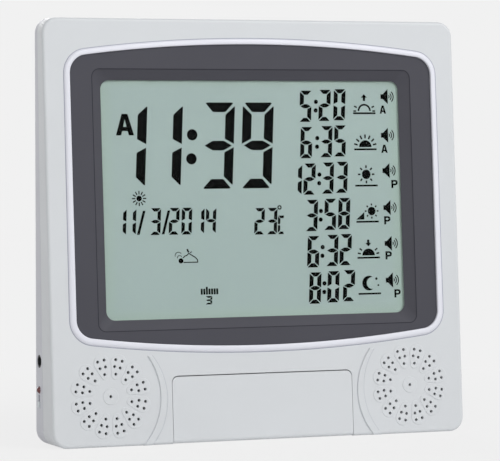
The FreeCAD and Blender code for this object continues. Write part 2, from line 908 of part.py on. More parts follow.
def push_button(x, up):
    top = -well_depth + button_proud
    cap = pill(x, up, button_length, button_width, button_back, top)
    cap = soft_edges(cap, cap_edge, lambda edge: at_depth(edge, top))
    flange = pill(x, up, button_length + 2 * button_flange, button_width + 2 * button_flange,
                  button_back, button_seat)
    return on_face(cap.multiFuse([flange, post(stem_radius, x, up, stem_tip, button_seat)]))


def button_mat():
    edge_x = (button_columns - 1) / 2 * button_pitch_x + button_length / 2
    edge_up = button_pitch_up / 2 + button_width / 2 + mat_margin
    mat = rounded_block(-edge_x, edge_x, button_middle_up - edge_up, button_middle_up + edge_up,
                        well_corner, control_front + touch / 2, mat_front)
    collars = []
    bores = []
    for name, x, up in button_places():
        collars.append(post(stem_radius + stem_play + collar_wall, x, up, mat_front - touch,
                            collar_top))
        bores.append(post(stem_radius + stem_play, x, up, mat_front, collar_top + over))
    return on_face(mat.multiFuse(collars).cut(Part.makeCompound(bores)))


def control_board():
    board = rounded_block(-well_half_width, well_half_width, well_bottom - control_board_margin,
                          well_top + control_board_margin, board_corner,
                          control_back, control_front - touch / 2)
    holes = []
    for x, up in control_screw_places():
        holes.append(post(small_screw_radius + 2 * thread_play, x, up, control_back - over,
                          control_front + over))
    return on_face(board.cut(Part.makeCompound(holes)))


def control_screws():
    tip = control_front + control_screw_length
    return Part.makeCompound([head_screw(x, up, control_back - touch, tip, small_screw_radius,
                                         small_head_radius, small_head_height)
                              for x, up in control_screw_places()])


def rear_bosses():
    bosses = []
    for x, up in case_boss_list():
        bosses.append(rod(boss_radius, (x, seam_y(up) + touch, up), (x, rear_y - wall / 2, up)))
    return bosses


def rear_screw_holes():
    holes = []
    for x, up in case_boss_list():
        holes.append(rod(screw_radius + screw_hole_play, (x, seam_y(up) - over, up),
                         (x, rear_y, up)))
        holes.append(rod(screw_head_radius + head_play, (x, seam_y(up) + boss_shoulder, up),
                         (x, rear_y + over, up)))
    return holes


def case_lip():
    """Ring that the rear shell pushes into the front one."""
    inner = case_solid(-wall - lip_clearance - lip_wall, False)
    front = case_solid(-wall - lip_clearance, False).cut(inner)
    front = front.common(slab(seam_place, -seam_gap - lip_wall, lip_height))
    back = case_solid(-wall + lip_clearance, False).cut(inner)
    back = back.common(slab(seam_place, -seam_gap - lip_wall, -seam_gap))
    return front.fuse(back)


def keyhole(side):
    x = side * keyhole_x
    top = keyhole_up + keyhole_rise
    start = rear_y - wall - over
    stop = rear_y + over
    entry = rod(keyhole_radius, (x, start, keyhole_up), (x, stop, keyhole_up))
    slot = block(x - keyhole_slot_radius, x + keyhole_slot_radius, start, stop, keyhole_up, top)
    end = rod(keyhole_slot_radius, (x, start, top), (x, stop, top))
    return entry.multiFuse([slot, end])


def keyhole_pocket(side, grow, back):
    """Closed space in front of a keyhole, or with grow the block that it is cut from."""
    half = keyhole_radius + slip + grow
    high = keyhole_up + keyhole_rise + keyhole_slot_radius + slip + grow
    return block(side * keyhole_x - half, side * keyhole_x + half,
                 rear_y - wall - keyhole_room - grow, back, keyhole_up - half, high)


def vent_slots(side):
    slots = []
    for index in range(vent_count):
        up = speaker_up + (index - (vent_count - 1) / 2) * vent_pitch
        slot = pill(side * speaker_x, up, vent_length, vent_width, -rear_y - over,
                    -rear_y + wall + over)
        slots.append(upright(slot))
    return slots


def side_holes():
    inner = side_wall_x + over
    outer = -half_width - over
    slot_y, slot_z = switch_slot
    return [rod(jack_hole_radius, (outer, side_line_y, jack_up), (inner, side_line_y, jack_up)),
            rod(lamp_radius + lamp_hole_play, (outer, side_line_y, lamp_up), (inner, side_line_y, lamp_up)),
            block(outer, inner, side_line_y - slot_y / 2, side_line_y + slot_y / 2,
                  switch_up - slot_z / 2, switch_up + slot_z / 2)]


def door_recess():
    """Room for the battery door and its hinge, cut from behind."""
    low = door_low - slip
    plate = block(-door_half - slip, door_half + slip, rear_y - door_thickness - touch, rear_y + over,
                  low, door_high + slip)
    hinge = block(-door_half - slip, door_half + slip, door_axis_y - door_barrel - slip, rear_y + over,
                  low, door_axis_up + door_barrel + slip)
    pin_end = door_half + slip + door_pin_length
    pins = rod(door_pin_radius + 2 * touch, (-pin_end, door_axis_y, door_axis_up),
               (pin_end, door_axis_y, door_axis_up))
    thumb = rod(thumb_radius, (0, rear_y + thumb_radius - thumb_depth, door_high),
                (0, rear_y + thumb_radius - thumb_depth, door_high + thumb_length))
    return [plate, hinge, pins, thumb]


def rear_cover():
    outside = case_solid(0)
    shell = outside.cut(case_solid(-wall, False)).common(slab(seam_place, -reach, -seam_gap))
    bay = block(-bay_half - bay_wall, bay_half + bay_wall, bay_front - bay_wall, rear_y - wall / 2,
                bay_low - bay_wall, bay_high + bay_wall)
    margin = wall + pad_margin
    pad = block(-door_half - margin, door_half + margin, rear_y - wall - door_seat,
                rear_y - wall / 2, door_low - margin, door_high + margin)
    thumb_back = block(-thumb_radius, thumb_radius, rear_y - wall - thumb_depth, rear_y - wall / 2,
                       door_high, door_high + thumb_length + wall)
    pockets = [keyhole_pocket(side, keyhole_wall, rear_y - wall / 2) for side in (-1, 1)]
    cover = shell.multiFuse([case_lip(), bay, pad, thumb_back] + pockets + rear_bosses())
    cover = cover.common(outside)
    cuts = rear_screw_holes() + door_recess() + side_holes()
    for side in (-1, 1):
        cuts.append(keyhole_pocket(side, 0, rear_y - wall))
        cuts.append(keyhole(side))
        cuts += vent_slots(side)
        cuts.append(rod(lead_radius + slip, (side * bay_half, cell_y, cell_up),
                        (side * (bay_half + 2 * bay_wall), cell_y, cell_up)))
    cuts.append(block(-bay_half, bay_half, bay_front, rear_y, bay_low, bay_high))
    return cover.cut(Part.makeCompound(cuts))


def battery_door():
    low = door_axis_up
    plate = block(-door_half, door_half, rear_y - door_thickness, rear_y, low, door_high)
    barrel = rod(door_barrel, (-door_half, door_axis_y, door_axis_up),
                 (door_half, door_axis_y, door_axis_up))
    pin_end = door_half + door_pin_length
    pins = rod(door_pin_radius, (-pin_end, door_axis_y, door_axis_up),
               (pin_end, door_axis_y, door_axis_up))
    grooves = []
    for index in range(groove_count):
        up = door_high - groove_drop - index * groove_pitch
        grooves.append(rod(groove_radius, (-groove_half_length, rear_y, up),
                           (groove_half_length, rear_y, up)))
    return plate.multiFuse([barrel, pins]).cut(Part.makeCompound(grooves))


def batteries():
    cells = []
    start = -bay_half + plate_thickness + spring_length + touch
    for index in range(2):
        x = start + index * (cell_length + touch)
        shoulder = x + cell_length - cell_nub
        can = rod(cell_radius, (x, cell_y, cell_up), (shoulder, cell_y, cell_up))
        can = soft_edges(can, cell_edge, lambda edge: edge.Length > 6 * cell_radius)
        nub = rod(cell_nub_radius, (shoulder - over, cell_y, cell_up),
                  (x + cell_length, cell_y, cell_up))
        cells.append(can.fuse(nub))
    return Part.makeCompound(cells)


def battery_plates():
    plates = []
    for side in (-1, 1):
        inner, outer = sorted((side * (bay_half - touch), side * (bay_half - plate_thickness)))
        plates.append(block(inner, outer, cell_y - plate_half_size, cell_y + plate_half_size,
                            cell_up - plate_half_size, cell_up + plate_half_size))
    return Part.makeCompound(plates)


def battery_spring():
    length = spring_length - 2 * spring_wire - 2 * touch
    helix = Part.makeHelix(length / spring_turns, length, spring_radius, 0)
    profile = Part.Wire(Part.makeCircle(spring_wire, V(spring_radius, 0, 0), V(0, 1, 0)))
    coil = Part.Wire(helix.Edges).makePipeShell([profile], True, True)
    coil.Placement = FreeCAD.Placement(V(-bay_half + plate_thickness + spring_wire + touch,
                                         cell_y, cell_up), FreeCAD.Rotation(V(0, 1, 0), 90))
    return coil


def case_screws():
    screws = []
    half = case_cross_width / 2
    arm = screw_head_radius * cross_share
    for x, up in case_boss_list():
        seat = seam_y(up) + boss_shoulder
        room = seam_y(up) - face_y(up) - wall - 2 * root
        shank = rod(screw_radius, (x, seam_y(up) - min(case_screw_grip, room), up), (x, seat, up))
        head = rod(screw_head_radius, (x, seat + touch, up), (x, seat + screw_head_height, up))
        neck = rod(screw_radius, (x, seat - touch, up), (x, seat + 2 * touch, up))
        floor = seat + screw_head_height / 2
        cross = block(x - arm, x + arm, floor, rear_y + over, up - half, up + half)
        across = block(x - half, x + half, floor, rear_y + over, up - arm, up + arm)
        screws.append(shank.multiFuse([neck, head]).cut(cross.fuse(across)))
    return Part.makeCompound(screws)


def dc_jack():
    length, width, height = jack_body
    face = side_wall_x + touch
    body = block(face, face + length, side_line_y - width / 2, side_line_y + width / 2,
                 jack_up - height / 2, jack_up + height / 2)
    nose = rod(jack_hole_radius - 2 * touch, (-half_width + 4 * touch, side_line_y, jack_up),
               (face + touch, side_line_y, jack_up))
    bore = rod(jack_bore_radius, (-half_width - over, side_line_y, jack_up),
               (face + length - jack_floor, side_line_y, jack_up))
    return body.fuse(nose).cut(bore)


def jack_pin():
    end = side_wall_x + touch + jack_body[0] - jack_floor
    return rod(jack_pin_radius, (-half_width + jack_pin_depth, side_line_y, jack_up),
               (end, side_line_y, jack_up))


def power_lamp():
    tip = -half_width - lamp_proud
    end = tip + lamp_length
    middle = tip + lamp_radius
    body = rod(lamp_radius, (middle, side_line_y, lamp_up), (end, side_line_y, lamp_up))
    dome = Part.makeSphere(lamp_radius, V(middle, side_line_y, lamp_up))
    rim = rod(lamp_radius + lamp_rim, (side_wall_x + touch, side_line_y, lamp_up),
              (end, side_line_y, lamp_up))
    return body.multiFuse([dome, rim])


def lamp_leads():
    start = -half_width - lamp_proud + lamp_length
    leads = []
    for side in (-1, 1):
        y = side_line_y + side * lead_pitch / 2
        leads.append(block(start, side_board_x, y - lead_width / 2, y + lead_width / 2,
                           lamp_up - lead_width / 2, lamp_up + lead_width / 2))
    return Part.makeCompound(leads)


def slide_switch():
    length, width, height = switch_body
    face = side_wall_x + touch
    slot_y, slot_z = switch_slot
    body = block(face, face + length, side_line_y - width / 2, side_line_y + width / 2,
                 switch_up - height / 2, switch_up + height / 2)
    track = block(face - over, face + switch_track, side_line_y - slot_y / 2, side_line_y + slot_y / 2,
                  switch_up - slot_z / 2, switch_up + slot_z / 2)
    legs = []
    for index in (-1, 0, 1):
        z = switch_up + index * lead_pitch
        legs.append(block(face + length - leg_grip, side_board_x, side_line_y - lead_width / 2,
                          side_line_y + lead_width / 2, z - lead_width / 2, z + lead_width / 2))
    return body.cut(track).multiFuse(legs)


def slide_knob():
    knob_y, knob_z = knob_size
    tip = -half_width - knob_proud
    low = switch_up - switch_slot[1] / 2 + knob_play
    knob = block(tip, side_wall_x + switch_track, side_line_y - knob_y / 2,
                 side_line_y + knob_y / 2, low, low + knob_z)
    return soft_edges(knob, knob_edge, lambda edge: edge.BoundBox.XMax < tip + touch)


def side_board():
    back = rear_y - wall - touch
    return block(side_board_x, side_board_x + board_thickness, back - side_board_width, back,
                 switch_up - switch_body[2] / 2 - side_board_under,
                 jack_up + jack_body[2] / 2 + side_board_over)


def tube(points, radius):
    """Round lead along straight runs with a wide arc at every bend."""
    corners = [V(*point) for point in points]
    start = corners[0]
    edges = []
    for before, corner, after in zip(corners, corners[1:], corners[2:]):
        run = arc_share * min((before - corner).Length, (after - corner).Length)
        back = (before - corner).normalize()
        ahead = (after - corner).normalize()
        half = back.getAngle(ahead) / 2
        middle = (back + ahead).normalize() * (run / math.cos(half) - run * math.tan(half))
        edges.append(Part.LineSegment(start, corner + back * run).toShape())
        edges.append(Part.Arc(corner + back * run, corner + middle, corner + ahead * run).toShape())
        start = corner + ahead * run
    edges.append(Part.LineSegment(start, corners[-1]).toShape())
    path = Part.Wire(edges)
    profile = Part.Wire(Part.makeCircle(radius, corners[0], corners[1] - corners[0]))
    return path.makePipeShell([profile], True, True)


def terminal_spot(side):
    angle = math.radians(terminal_angle)
    return (side * (speaker_x + speaker_radius * math.cos(angle)),
            speaker_up + speaker_radius * math.sin(angle))


def speaker_terminals():
    blocks = []
    length, width, height = terminal_size
    for side in (-1, 1):
        x, up = terminal_spot(side)
        tab = block(-length / 2, length / 2, -width / 2, width / 2, flange_rear - height, flange_rear)
        tab.Placement = FreeCAD.Placement(V(x, up, 0), FreeCAD.Rotation(V(0, 0, 1), side * 45))
        blocks.append(on_face(tab))
    return Part.makeCompound(blocks)


def to_board(x, up, slack):
    """Last two points of a lead that meets the main board squarely from behind."""
    return [(x, up, board_back - slack), (x, up, board_back - touch / 2)]


def from_case(x, y, z):
    """Face frame coordinates of a point of the upright case."""
    point = face_place.inverse().multVec(V(x, y, z))
    return (point.x, point.y, point.z)


def speaker_leads():
    leads = []
    start = flange_rear - terminal_size[2]
    for side in (-1, 1):
        x, up = terminal_spot(side)
        for shift in (-lead_spacing / 2, lead_spacing / 2):
            height = up + side * shift
            points = [(x + shift, height, start), (x + shift, height, start - lead_slack),
                      (x + shift, height + 2 * lead_slack, board_back - lead_slack)]
            leads.append(on_face(tube(points + to_board(x + shift, window_bottom, lead_slack),
                                      lead_radius)))
    return Part.makeCompound(leads)


def battery_leads():
    leads = []
    for side in (-1, 1):
        x = side * bay_half
        out = side * (bay_half + 2 * lead_slack)
        points = [from_case(x, cell_y, cell_up),
                  from_case(out, cell_y, cell_up),
                  from_case(out, cell_y, cell_up + 2 * lead_slack)]
        leads.append(on_face(tube(points + to_board(out, window_bottom, lead_slack), lead_radius)))
    return Part.makeCompound(leads)


def power_leads():
    leads = []
    x = side_board_x + board_thickness
    for index in (0, 1):
        shift = index * lead_spacing
        points = [from_case(x, side_line_y, jack_up + shift),
                  from_case(x + lead_slack, side_line_y, jack_up + shift),
                  from_case(x + 2 * lead_slack, side_line_y, jack_up + 2 * lead_slack + shift)]
        end = to_board(x + 3 * lead_slack + shift, window_bottom + shift, lead_slack)
        leads.append(on_face(tube(points + end, lead_radius)))
    return Part.makeCompound(leads)


def button_cable():
    x = -well_half_width + cable_inset
    out = -bay_half - cable_way
    up = button_middle_up
    points = [(x, up, control_back - touch / 2), (x, up, control_back - lead_slack),
              (out, up + 2 * lead_slack, control_back - lead_slack),
              (out, window_bottom - 2 * lead_slack, board_back - lead_slack)]
    return on_face(tube(points + to_board(out, window_bottom, lead_slack), cable_radius))


nodes = {
    "front_cover": front_cover,
    "rear_cover": rear_cover,
    "bezel_ring": bezel_ring,
    "display_panel": display_panel,
    "window_lens": lambda: sheet(lens_border, lens_back, lens_front),
    "lcd_glass": lambda: sheet(glass_border, glass_back, glass_front),
    "backlight_panel": lambda: sheet(glass_border - ledge, light_back, light_front),
    "display_holder": display_holder,
    "contact_strips": contact_strips,
    "main_board": main_board,
    "main_chips": main_chips,
    "board_capacitors": board_capacitors,
    "clock_crystal": clock_crystal,
    "board_screws": board_screws,
    "holder_screws": holder_screws,
    "left_speaker_frame": lambda: speaker_frame(-1),
    "left_speaker_cone": lambda: speaker_cone(-1),
    "left_speaker_magnet": lambda: speaker_magnet(-1),
    "right_speaker_frame": lambda: speaker_frame(1),
    "right_speaker_cone": lambda: speaker_cone(1),
    "right_speaker_magnet": lambda: speaker_magnet(1),
    "speaker_gaskets": speaker_gaskets,
    "speaker_screws": speaker_screws,
    "speaker_terminals": speaker_terminals,
    "speaker_leads": speaker_leads,
    "flap_door": flap_door,
    "flap_pins": flap_pins,
    "button_mat": button_mat,
    "control_board": control_board,
    "control_screws": control_screws,
    "button_cable": button_cable,
    "dc_jack": dc_jack,
    "jack_pin": jack_pin,
    "power_lamp": power_lamp,
    "lamp_leads": lamp_leads,
    "slide_switch": slide_switch,
    "slide_knob": slide_knob,
    "side_board": side_board,
    "power_leads": power_leads,
    "battery_door": battery_door,
    "batteries": batteries,
    "battery_plates": battery_plates,
    "battery_spring": battery_spring,
    "battery_leads": battery_leads,
    "case_screws": case_screws,
}

for name, make in nodes.items():
    save(name, make())
for name, x, up in button_places():
    save(name + "_button", push_button(x, up))
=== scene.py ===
import math
import bmesh
import bpy
from mathutils import Matrix, Vector


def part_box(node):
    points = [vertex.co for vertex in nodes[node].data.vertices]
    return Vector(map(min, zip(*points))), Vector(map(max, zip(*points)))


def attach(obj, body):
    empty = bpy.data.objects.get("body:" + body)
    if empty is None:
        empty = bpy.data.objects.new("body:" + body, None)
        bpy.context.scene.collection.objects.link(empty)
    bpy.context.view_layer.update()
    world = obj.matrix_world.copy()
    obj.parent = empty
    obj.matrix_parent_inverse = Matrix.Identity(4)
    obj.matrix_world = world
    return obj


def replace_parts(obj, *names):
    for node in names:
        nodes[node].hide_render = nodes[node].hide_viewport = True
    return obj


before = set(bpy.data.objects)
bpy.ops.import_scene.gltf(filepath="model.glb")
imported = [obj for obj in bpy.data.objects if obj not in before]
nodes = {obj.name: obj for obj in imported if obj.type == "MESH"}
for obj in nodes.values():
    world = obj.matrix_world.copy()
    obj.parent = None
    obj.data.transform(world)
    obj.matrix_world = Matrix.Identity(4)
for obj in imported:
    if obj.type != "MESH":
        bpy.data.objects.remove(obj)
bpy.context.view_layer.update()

mm = 0.001

cameraLook = {
    "place": (-664.73, -1605.05, 191.73),  # mm, in the clock's own frame
    "right": (0.92442, -0.38137, -0.00135),
    "forward": (0.38104, 0.92375, -0.03874),
    "lens": 208.8,
    "sensor": 36.0,
    "clip": (0.05, 20.0),
}


def addObject(name, data):
    added = bpy.data.objects.new(name, data)
    bpy.context.collection.objects.link(added)
    return added


def placeCamera(look):
    data = bpy.data.cameras.new("studio_camera")
    data.lens = look["lens"]
    data.sensor_width = look["sensor"]
    data.clip_start, data.clip_end = look["clip"]
    camera = addObject("studio_camera", data)
    right = Vector(look["right"]).normalized()
    back = -Vector(look["forward"]).normalized()
    up = back.cross(right).normalized()
    right = up.cross(back).normalized()
    turn = Matrix((right, up, back)).transposed().to_4x4()
    camera.matrix_world = Matrix.Translation(Vector(look["place"]) * mm) @ turn
    bpy.context.scene.camera = camera


placeCamera(cameraLook)
print("camera ready")


def tone(red, green, blue):  # screen colour 0 to 255, to linear
    def one(value):
        value = value / 255.0
        return value / 12.92 if value <= 0.04045 else ((value + 0.055) / 1.055) ** 2.4
    return (one(red), one(green), one(blue), 1.0)


def shaded(colour, by):
    return (colour[0] * by, colour[1] * by, colour[2] * by, 1.0)


def socketOf(sockets, identifier):
    return next(s for s in sockets if s.identifier == identifier)


def feed(tree, socket, value):  # a fixed value, or a link from another socket
    if isinstance(value, (int, float, tuple)):
        socket.default_value = value
    else:
        tree.links.new(value, socket)


def setInputs(node, values):
    for label, value in values.items():
        node.inputs[label].default_value = value


def addNoise(tree, vector, scale, detail, rough=0.5):
    noise = tree.nodes.new("ShaderNodeTexNoise")
    setInputs(noise, {"Detail": detail, "Roughness": rough})
    tree.links.new(vector, noise.inputs["Vector"])
    feed(tree, noise.inputs["Scale"], scale)
    return noise.outputs["Fac"]


def addMath(tree, operation, *values):
    step = tree.nodes.new("ShaderNodeMath")
    step.operation = operation
    for socket, value in zip(step.inputs, values):
        feed(tree, socket, value)
    return step.outputs[0]


def addRange(tree, value, low, high, newLow, newHigh):
    step = tree.nodes.new("ShaderNodeMapRange")
    tree.links.new(value, step.inputs["Value"])
    setInputs(step, {"From Min": low, "From Max": high, "To Min": newLow, "To Max": newHigh})
    return step.outputs["Result"]


def stretched(tree, noise, low, high):  # most of a noise lies between 0.3 and 0.7
    return addRange(tree, noise, 0.3, 0.7, low, high)


def addMix(tree, factor, first, second):
    mix = tree.nodes.new("ShaderNodeMix")
    mix.data_type = "RGBA"
    for name, value in (("Factor_Float", factor), ("A_Color", first), ("B_Color", second)):
        feed(tree, socketOf(mix.inputs, name), value)
    return socketOf(mix.outputs, "Result_Color")


def objectPlace(tree):
    return tree.nodes.new("ShaderNodeTexCoord").outputs["Object"]


def separate(tree, vector):
    split = tree.nodes.new("ShaderNodeSeparateXYZ")
    tree.links.new(vector, split.inputs[0])
    return split.outputs


def newGroup(kind, name, inputs, outputs):  # an input is a label, a kind and perhaps a value
    tree = bpy.data.node_groups.new(name, kind)
    for label, socketKind, *value in inputs:
        socket = tree.interface.new_socket(name=label, in_out="INPUT", socket_type="NodeSocket" + socketKind)
        if value:
            socket.default_value = value[0]
    for label, socketKind in outputs:
        tree.interface.new_socket(name=label, in_out="OUTPUT", socket_type="NodeSocket" + socketKind)
    return tree, tree.nodes.new("NodeGroupInput"), tree.nodes.new("NodeGroupOutput")


def makeMouldGrain():  # eroded mould skin: pits, cloudy shade, handling
    tree, start, end = newGroup("ShaderNodeTree", "mould grain",
                                [("Scale", "Float", 1400.0), ("Cloud", "Float", 18.0)],
                                [("Height", "Float"), ("Shade", "Float"), ("Smudge", "Float")])
    place = objectPlace(tree)
    scale, cloud = start.outputs["Scale"], start.outputs["Cloud"]
    fine = addNoise(tree, place, scale, 3.0, 0.6)
    coarse = addNoise(tree, place, addMath(tree, "MULTIPLY", scale, 0.31), 2.0)
    height = addMath(tree, "MULTIPLY_ADD", coarse, 0.45, addMath(tree, "MULTIPLY", fine, 0.55))
    tree.links.new(height, end.inputs["Height"])
    tree.links.new(addNoise(tree, place, cloud, 4.0, 0.55), end.inputs["Shade"])
    tree.links.new(addNoise(tree, place, addMath(tree, "MULTIPLY", cloud, 2.7), 5.0, 0.62),
                   end.inputs["Smudge"])
    return tree


def makeDrawnMetal():  # fine lines from rolling or turning
    tree, start, end = newGroup("ShaderNodeTree", "drawn metal",
                                [("Scale", "Float", 900.0), ("Stretch", "Float", 0.05)],
                                [("Height", "Float"), ("Shade", "Float")])
    place = objectPlace(tree)
    scale = start.outputs["Scale"]
    parts = separate(tree, place)
    join = tree.nodes.new("ShaderNodeCombineXYZ")
    drawn = addMath(tree, "MULTIPLY", parts[0], start.outputs["Stretch"])
    for socket, value in zip(join.inputs, (drawn, parts[1], parts[2])):
        tree.links.new(value, socket)
    tree.links.new(addNoise(tree, join.outputs[0], scale, 3.0, 0.7), end.inputs["Height"])
    tree.links.new(addNoise(tree, place, addMath(tree, "MULTIPLY", scale, 0.12), 4.0, 0.6),
                   end.inputs["Shade"])
    return tree


mouldGrain = makeMouldGrain()
drawnMetal = makeDrawnMetal()


def placeGroup(tree, group, scale):
    node = tree.nodes.new("ShaderNodeGroup")
    node.node_tree = group
    node.inputs["Scale"].default_value = scale
    return node.outputs


def newMaterial(name):
    material = bpy.data.materials.new(name)
    material.use_nodes = True
    tree = material.node_tree
    return material, tree, tree.nodes["Principled BSDF"]


def addBump(tree, shader, height, strength, distance):
    bump = tree.nodes.new("ShaderNodeBump")
    setInputs(bump, {"Strength": strength, "Distance": distance})
    tree.links.new(height, bump.inputs["Height"])
    tree.links.new(bump.outputs["Normal"], shader.inputs["Normal"])


def clouded(tree, shader, noise, dark, light):  # base colour from dark to light
    tree.links.new(addMix(tree, stretched(tree, noise, 0.0, 1.0), dark, light), shader.inputs["Base Color"])


def roughened(tree, shader, noise, low, high):
    tree.links.new(stretched(tree, noise, low, high), shader.inputs["Roughness"])


def surface(tree, shader, shade, smudge, height, look):  # cloudy colour, uneven roughness and relief
    colour, spread, rough, swing = look["colour"], look["spread"], look["rough"], look["swing"]
    clouded(tree, shader, shade, shaded(colour, 1 - spread), shaded(colour, 1 + spread))
    roughened(tree, shader, smudge, rough - swing[0], rough + swing[1])
    addBump(tree, shader, height, look["relief"], look["deep"])
    shader.inputs["Metallic"].default_value = look["metal"]


# what a finish has where its own look doesn't say
plainPlastic = {"spread": 0.03, "swing": (0.05, 0.05), "relief": 0.2, "deep": 0.00006, "metal": 0.0,
                "coat": 0.0, "coatRough": 0.2, "shine": 0.5}
plainMetal = {"spread": 0.08, "swing": (0.06, 0.08), "relief": 0.15, "deep": 0.00003, "metal": 1.0}


def moulded(name, look):  # any moulded or painted plastic
    look = {**plainPlastic, **look}
    material, tree, shader = newMaterial(name)
    grain = placeGroup(tree, mouldGrain, look["grain"])
    surface(tree, shader, grain["Shade"], grain["Smudge"], grain["Height"], look)
    setInputs(shader, {"Coat Weight": look["coat"], "Coat Roughness": look["coatRough"],
                       "Specular IOR Level": look["shine"]})
    return material


def metal(name, look):  # rolled, turned or plated metal
    look = {**plainMetal, **look}
    material, tree, shader = newMaterial(name)
    lines = placeGroup(tree, drawnMetal, look["lines"])
    surface(tree, shader, lines["Shade"], lines["Height"], lines["Height"], look)
    return material


finishes = {}


def dress(make, looks):  # makes each finish and puts it on the parts that it names
    for name, look in looks.items():
        finishes[name] = make(name, look)
        for part in look.get("parts", ()):
            mesh = nodes[part].data
            if not mesh.materials:
                mesh.materials.append(finishes[name])
            for index in range(len(mesh.materials)):
                mesh.materials[index] = finishes[name]


caseLook = {
    "front_shell_paint": {
        "parts": ("front_cover",), "colour": tone(207, 210, 213), "rough": 0.42, "grain": 1500.0,
        "relief": 0.16, "spread": 0.012, "coat": 0.08, "coatRough": 0.35},
    "rear_shell_plastic": {
        "parts": ("rear_cover", "battery_door"), "colour": tone(199, 200, 207), "rough": 0.46,
        "grain": 1300.0, "relief": 0.22, "spread": 0.014, "coat": 0.05, "coatRough": 0.4},
    "flap_paint": {
        "parts": ("flap_door",), "colour": tone(208, 211, 214), "rough": 0.41, "grain": 1500.0,
        "relief": 0.16, "spread": 0.012, "coat": 0.08, "coatRough": 0.35},
    "panel_paint": {
        "parts": ("display_panel",), "colour": tone(73, 73, 80), "rough": 0.5, "grain": 1700.0,
        "relief": 0.12, "spread": 0.03, "shine": 0.16},
    "ring_silver": {
        "parts": ("bezel_ring",), "colour": tone(221, 222, 230), "rough": 0.58, "grain": 1900.0,
        "relief": 0.05, "spread": 0.012, "metal": 0.15},
}
dress(moulded, caseLook)

# painted shade: darker colours for thin strips laid where shade falls, at the ring's outer crease, along the
# ribs' edges and where the panel turns down to the window
shadeLook = {
    "crease_shade": {"colour": tone(150, 152, 168), "shine": 0.1},
    "rib_shade": {"colour": tone(194, 197, 202), "shine": 0.1},
    "funnel_shade": {"colour": tone(52, 51, 58), "shine": 0.05},
}
dress(moulded, {name: dict(look, rough=0.7, grain=1900.0, relief=0.05) for name, look in shadeLook.items()})
print("case finished")


lensLook = {
    "window_clear": {
        "parts": ("window_lens",), "tint": tone(250, 252, 251), "rough": 0.03, "refraction": 1.49,
        "mirror": 0.03, "wave": 55.0, "pull": (0.02, 0.0002), "shadow": (0.97, 0.975, 0.972, 1.0)},
}


def joinShaders(tree, share, first, second, output):
    mix = tree.nodes.new("ShaderNodeMixShader")
    for socket, source in zip(mix.inputs, (share, first.outputs[0], second.outputs[0])):
        tree.links.new(source, socket)
    tree.links.new(mix.outputs[0], output.inputs["Surface"])


def clearWindow(name, look):
    material, tree, shader = newMaterial(name)
    setInputs(shader, {"Base Color": look["tint"], "Roughness": look["rough"], "IOR": look["refraction"],
                       "Transmission Weight": 1.0, "Specular Tint": (look["mirror"],) * 3 + (1.0,)})
    wave = addNoise(tree, objectPlace(tree), look["wave"], 2.0)  # the slight pull of a moulded sheet
    addBump(tree, shader, wave, *look["pull"])
    clear = tree.nodes.new("ShaderNodeBsdfTransparent")
    clear.inputs["Color"].default_value = look["shadow"]
    light = tree.nodes.new("ShaderNodeLightPath")
    joinShaders(tree, light.outputs["Is Shadow Ray"], shader, clear, tree.nodes["Material Output"])
    return material


dress(clearWindow, lensLook)

displayLook = {
    "display_field": {
        "parts": ("lcd_glass",), "field": tone(147, 161, 159), "edge": tone(147, 163, 154),
        "half": (0.0975, 0.0715), "middle": 0.1444,  # half width and height, and how high, in metres
        "rim": (0.9, 1.02), "cloud": 14.0, "veil": (0.12, 1.16), "speck": 2600.0,
        "rough": (0.29, 0.39), "relief": (0.1, 0.00003), "shine": 0.12},
}


def displayField(name, look):
    material, tree, shader = newMaterial(name)
    place = objectPlace(tree)
    parts = separate(tree, place)
    across = addMath(tree, "DIVIDE", addMath(tree, "ABSOLUTE", parts[0]), look["half"][0])
    rise = addMath(tree, "ABSOLUTE", addMath(tree, "SUBTRACT", parts[2], look["middle"]))
    upward = addMath(tree, "DIVIDE", rise, look["half"][1])
    rim = addRange(tree, addMath(tree, "MAXIMUM", across, upward), *look["rim"], 0.0, 1.0)
    tint = addMix(tree, rim, look["field"], look["edge"])
    share, paler = look["veil"]
    veil = stretched(tree, addNoise(tree, place, look["cloud"], 3.0), 0.0, share)
    tree.links.new(addMix(tree, veil, tint, shaded(look["field"], paler)), shader.inputs["Base Color"])
    speck = addNoise(tree, place, look["speck"], 2.0)
    roughened(tree, shader, speck, *look["rough"])
    addBump(tree, shader, speck, *look["relief"])
    shader.inputs["Specular IOR Level"].default_value = look["shine"]
    return material


dress(displayField, displayLook)

inkDepth = (5.37, 5.395)  # mm below the face, between window and display glass
inkLook = {
    "display_ink": {"colour": tone(6, 7, 7), "rough": 0.4, "grain": 2500.0, "spread": 0.06, "relief": 0.04,
                    "shine": 0.02},
}
dress(moulded, inkLook)

face = {"lean": math.radians(4.2), "front": -16.51812}


def onFace(across, up, deep):  # mm on the sloping face, to metres
    cos, sin = math.cos(face["lean"]), math.sin(face["lean"])
    return Vector((across, face["front"] + up * sin + deep * cos, up * cos - deep * sin)) * mm


def facePlace(point):  # metres back to across, up and deep on the face, in mm
    cos, sin = math.cos(face["lean"]), math.sin(face["lean"])
    x, y, z = point[0] / mm, point[1] / mm - face["front"], point[2] / mm
    return (x, y * sin + z * cos, y * cos - z * sin)


def facePlaces(name):
    return [facePlace(vert.co) for vert in nodes[name].data.vertices]


def pairs(ring):  # each item with the next one, closed
    return list(zip(ring, ring[1:] + ring[:1]))


def addWall(bm, first, second):  # faces between two rings
    for (a, b), (c, d) in zip(pairs(first), pairs(second)):
        bm.faces.new((a, b, d, c))


def meshFrom(bm, name, sharp=None):  # shaded smooth up to an angle, where one is given
    bmesh.ops.recalc_face_normals(bm, faces=bm.faces)
    for part in bm.faces:
        part.smooth = sharp is not None
    mesh = bpy.data.meshes.new(name)
    bm.to_mesh(mesh)
    bm.free()
    if sharp is not None:
        mesh.set_sharp_from_angle(angle=math.radians(sharp))
    return mesh


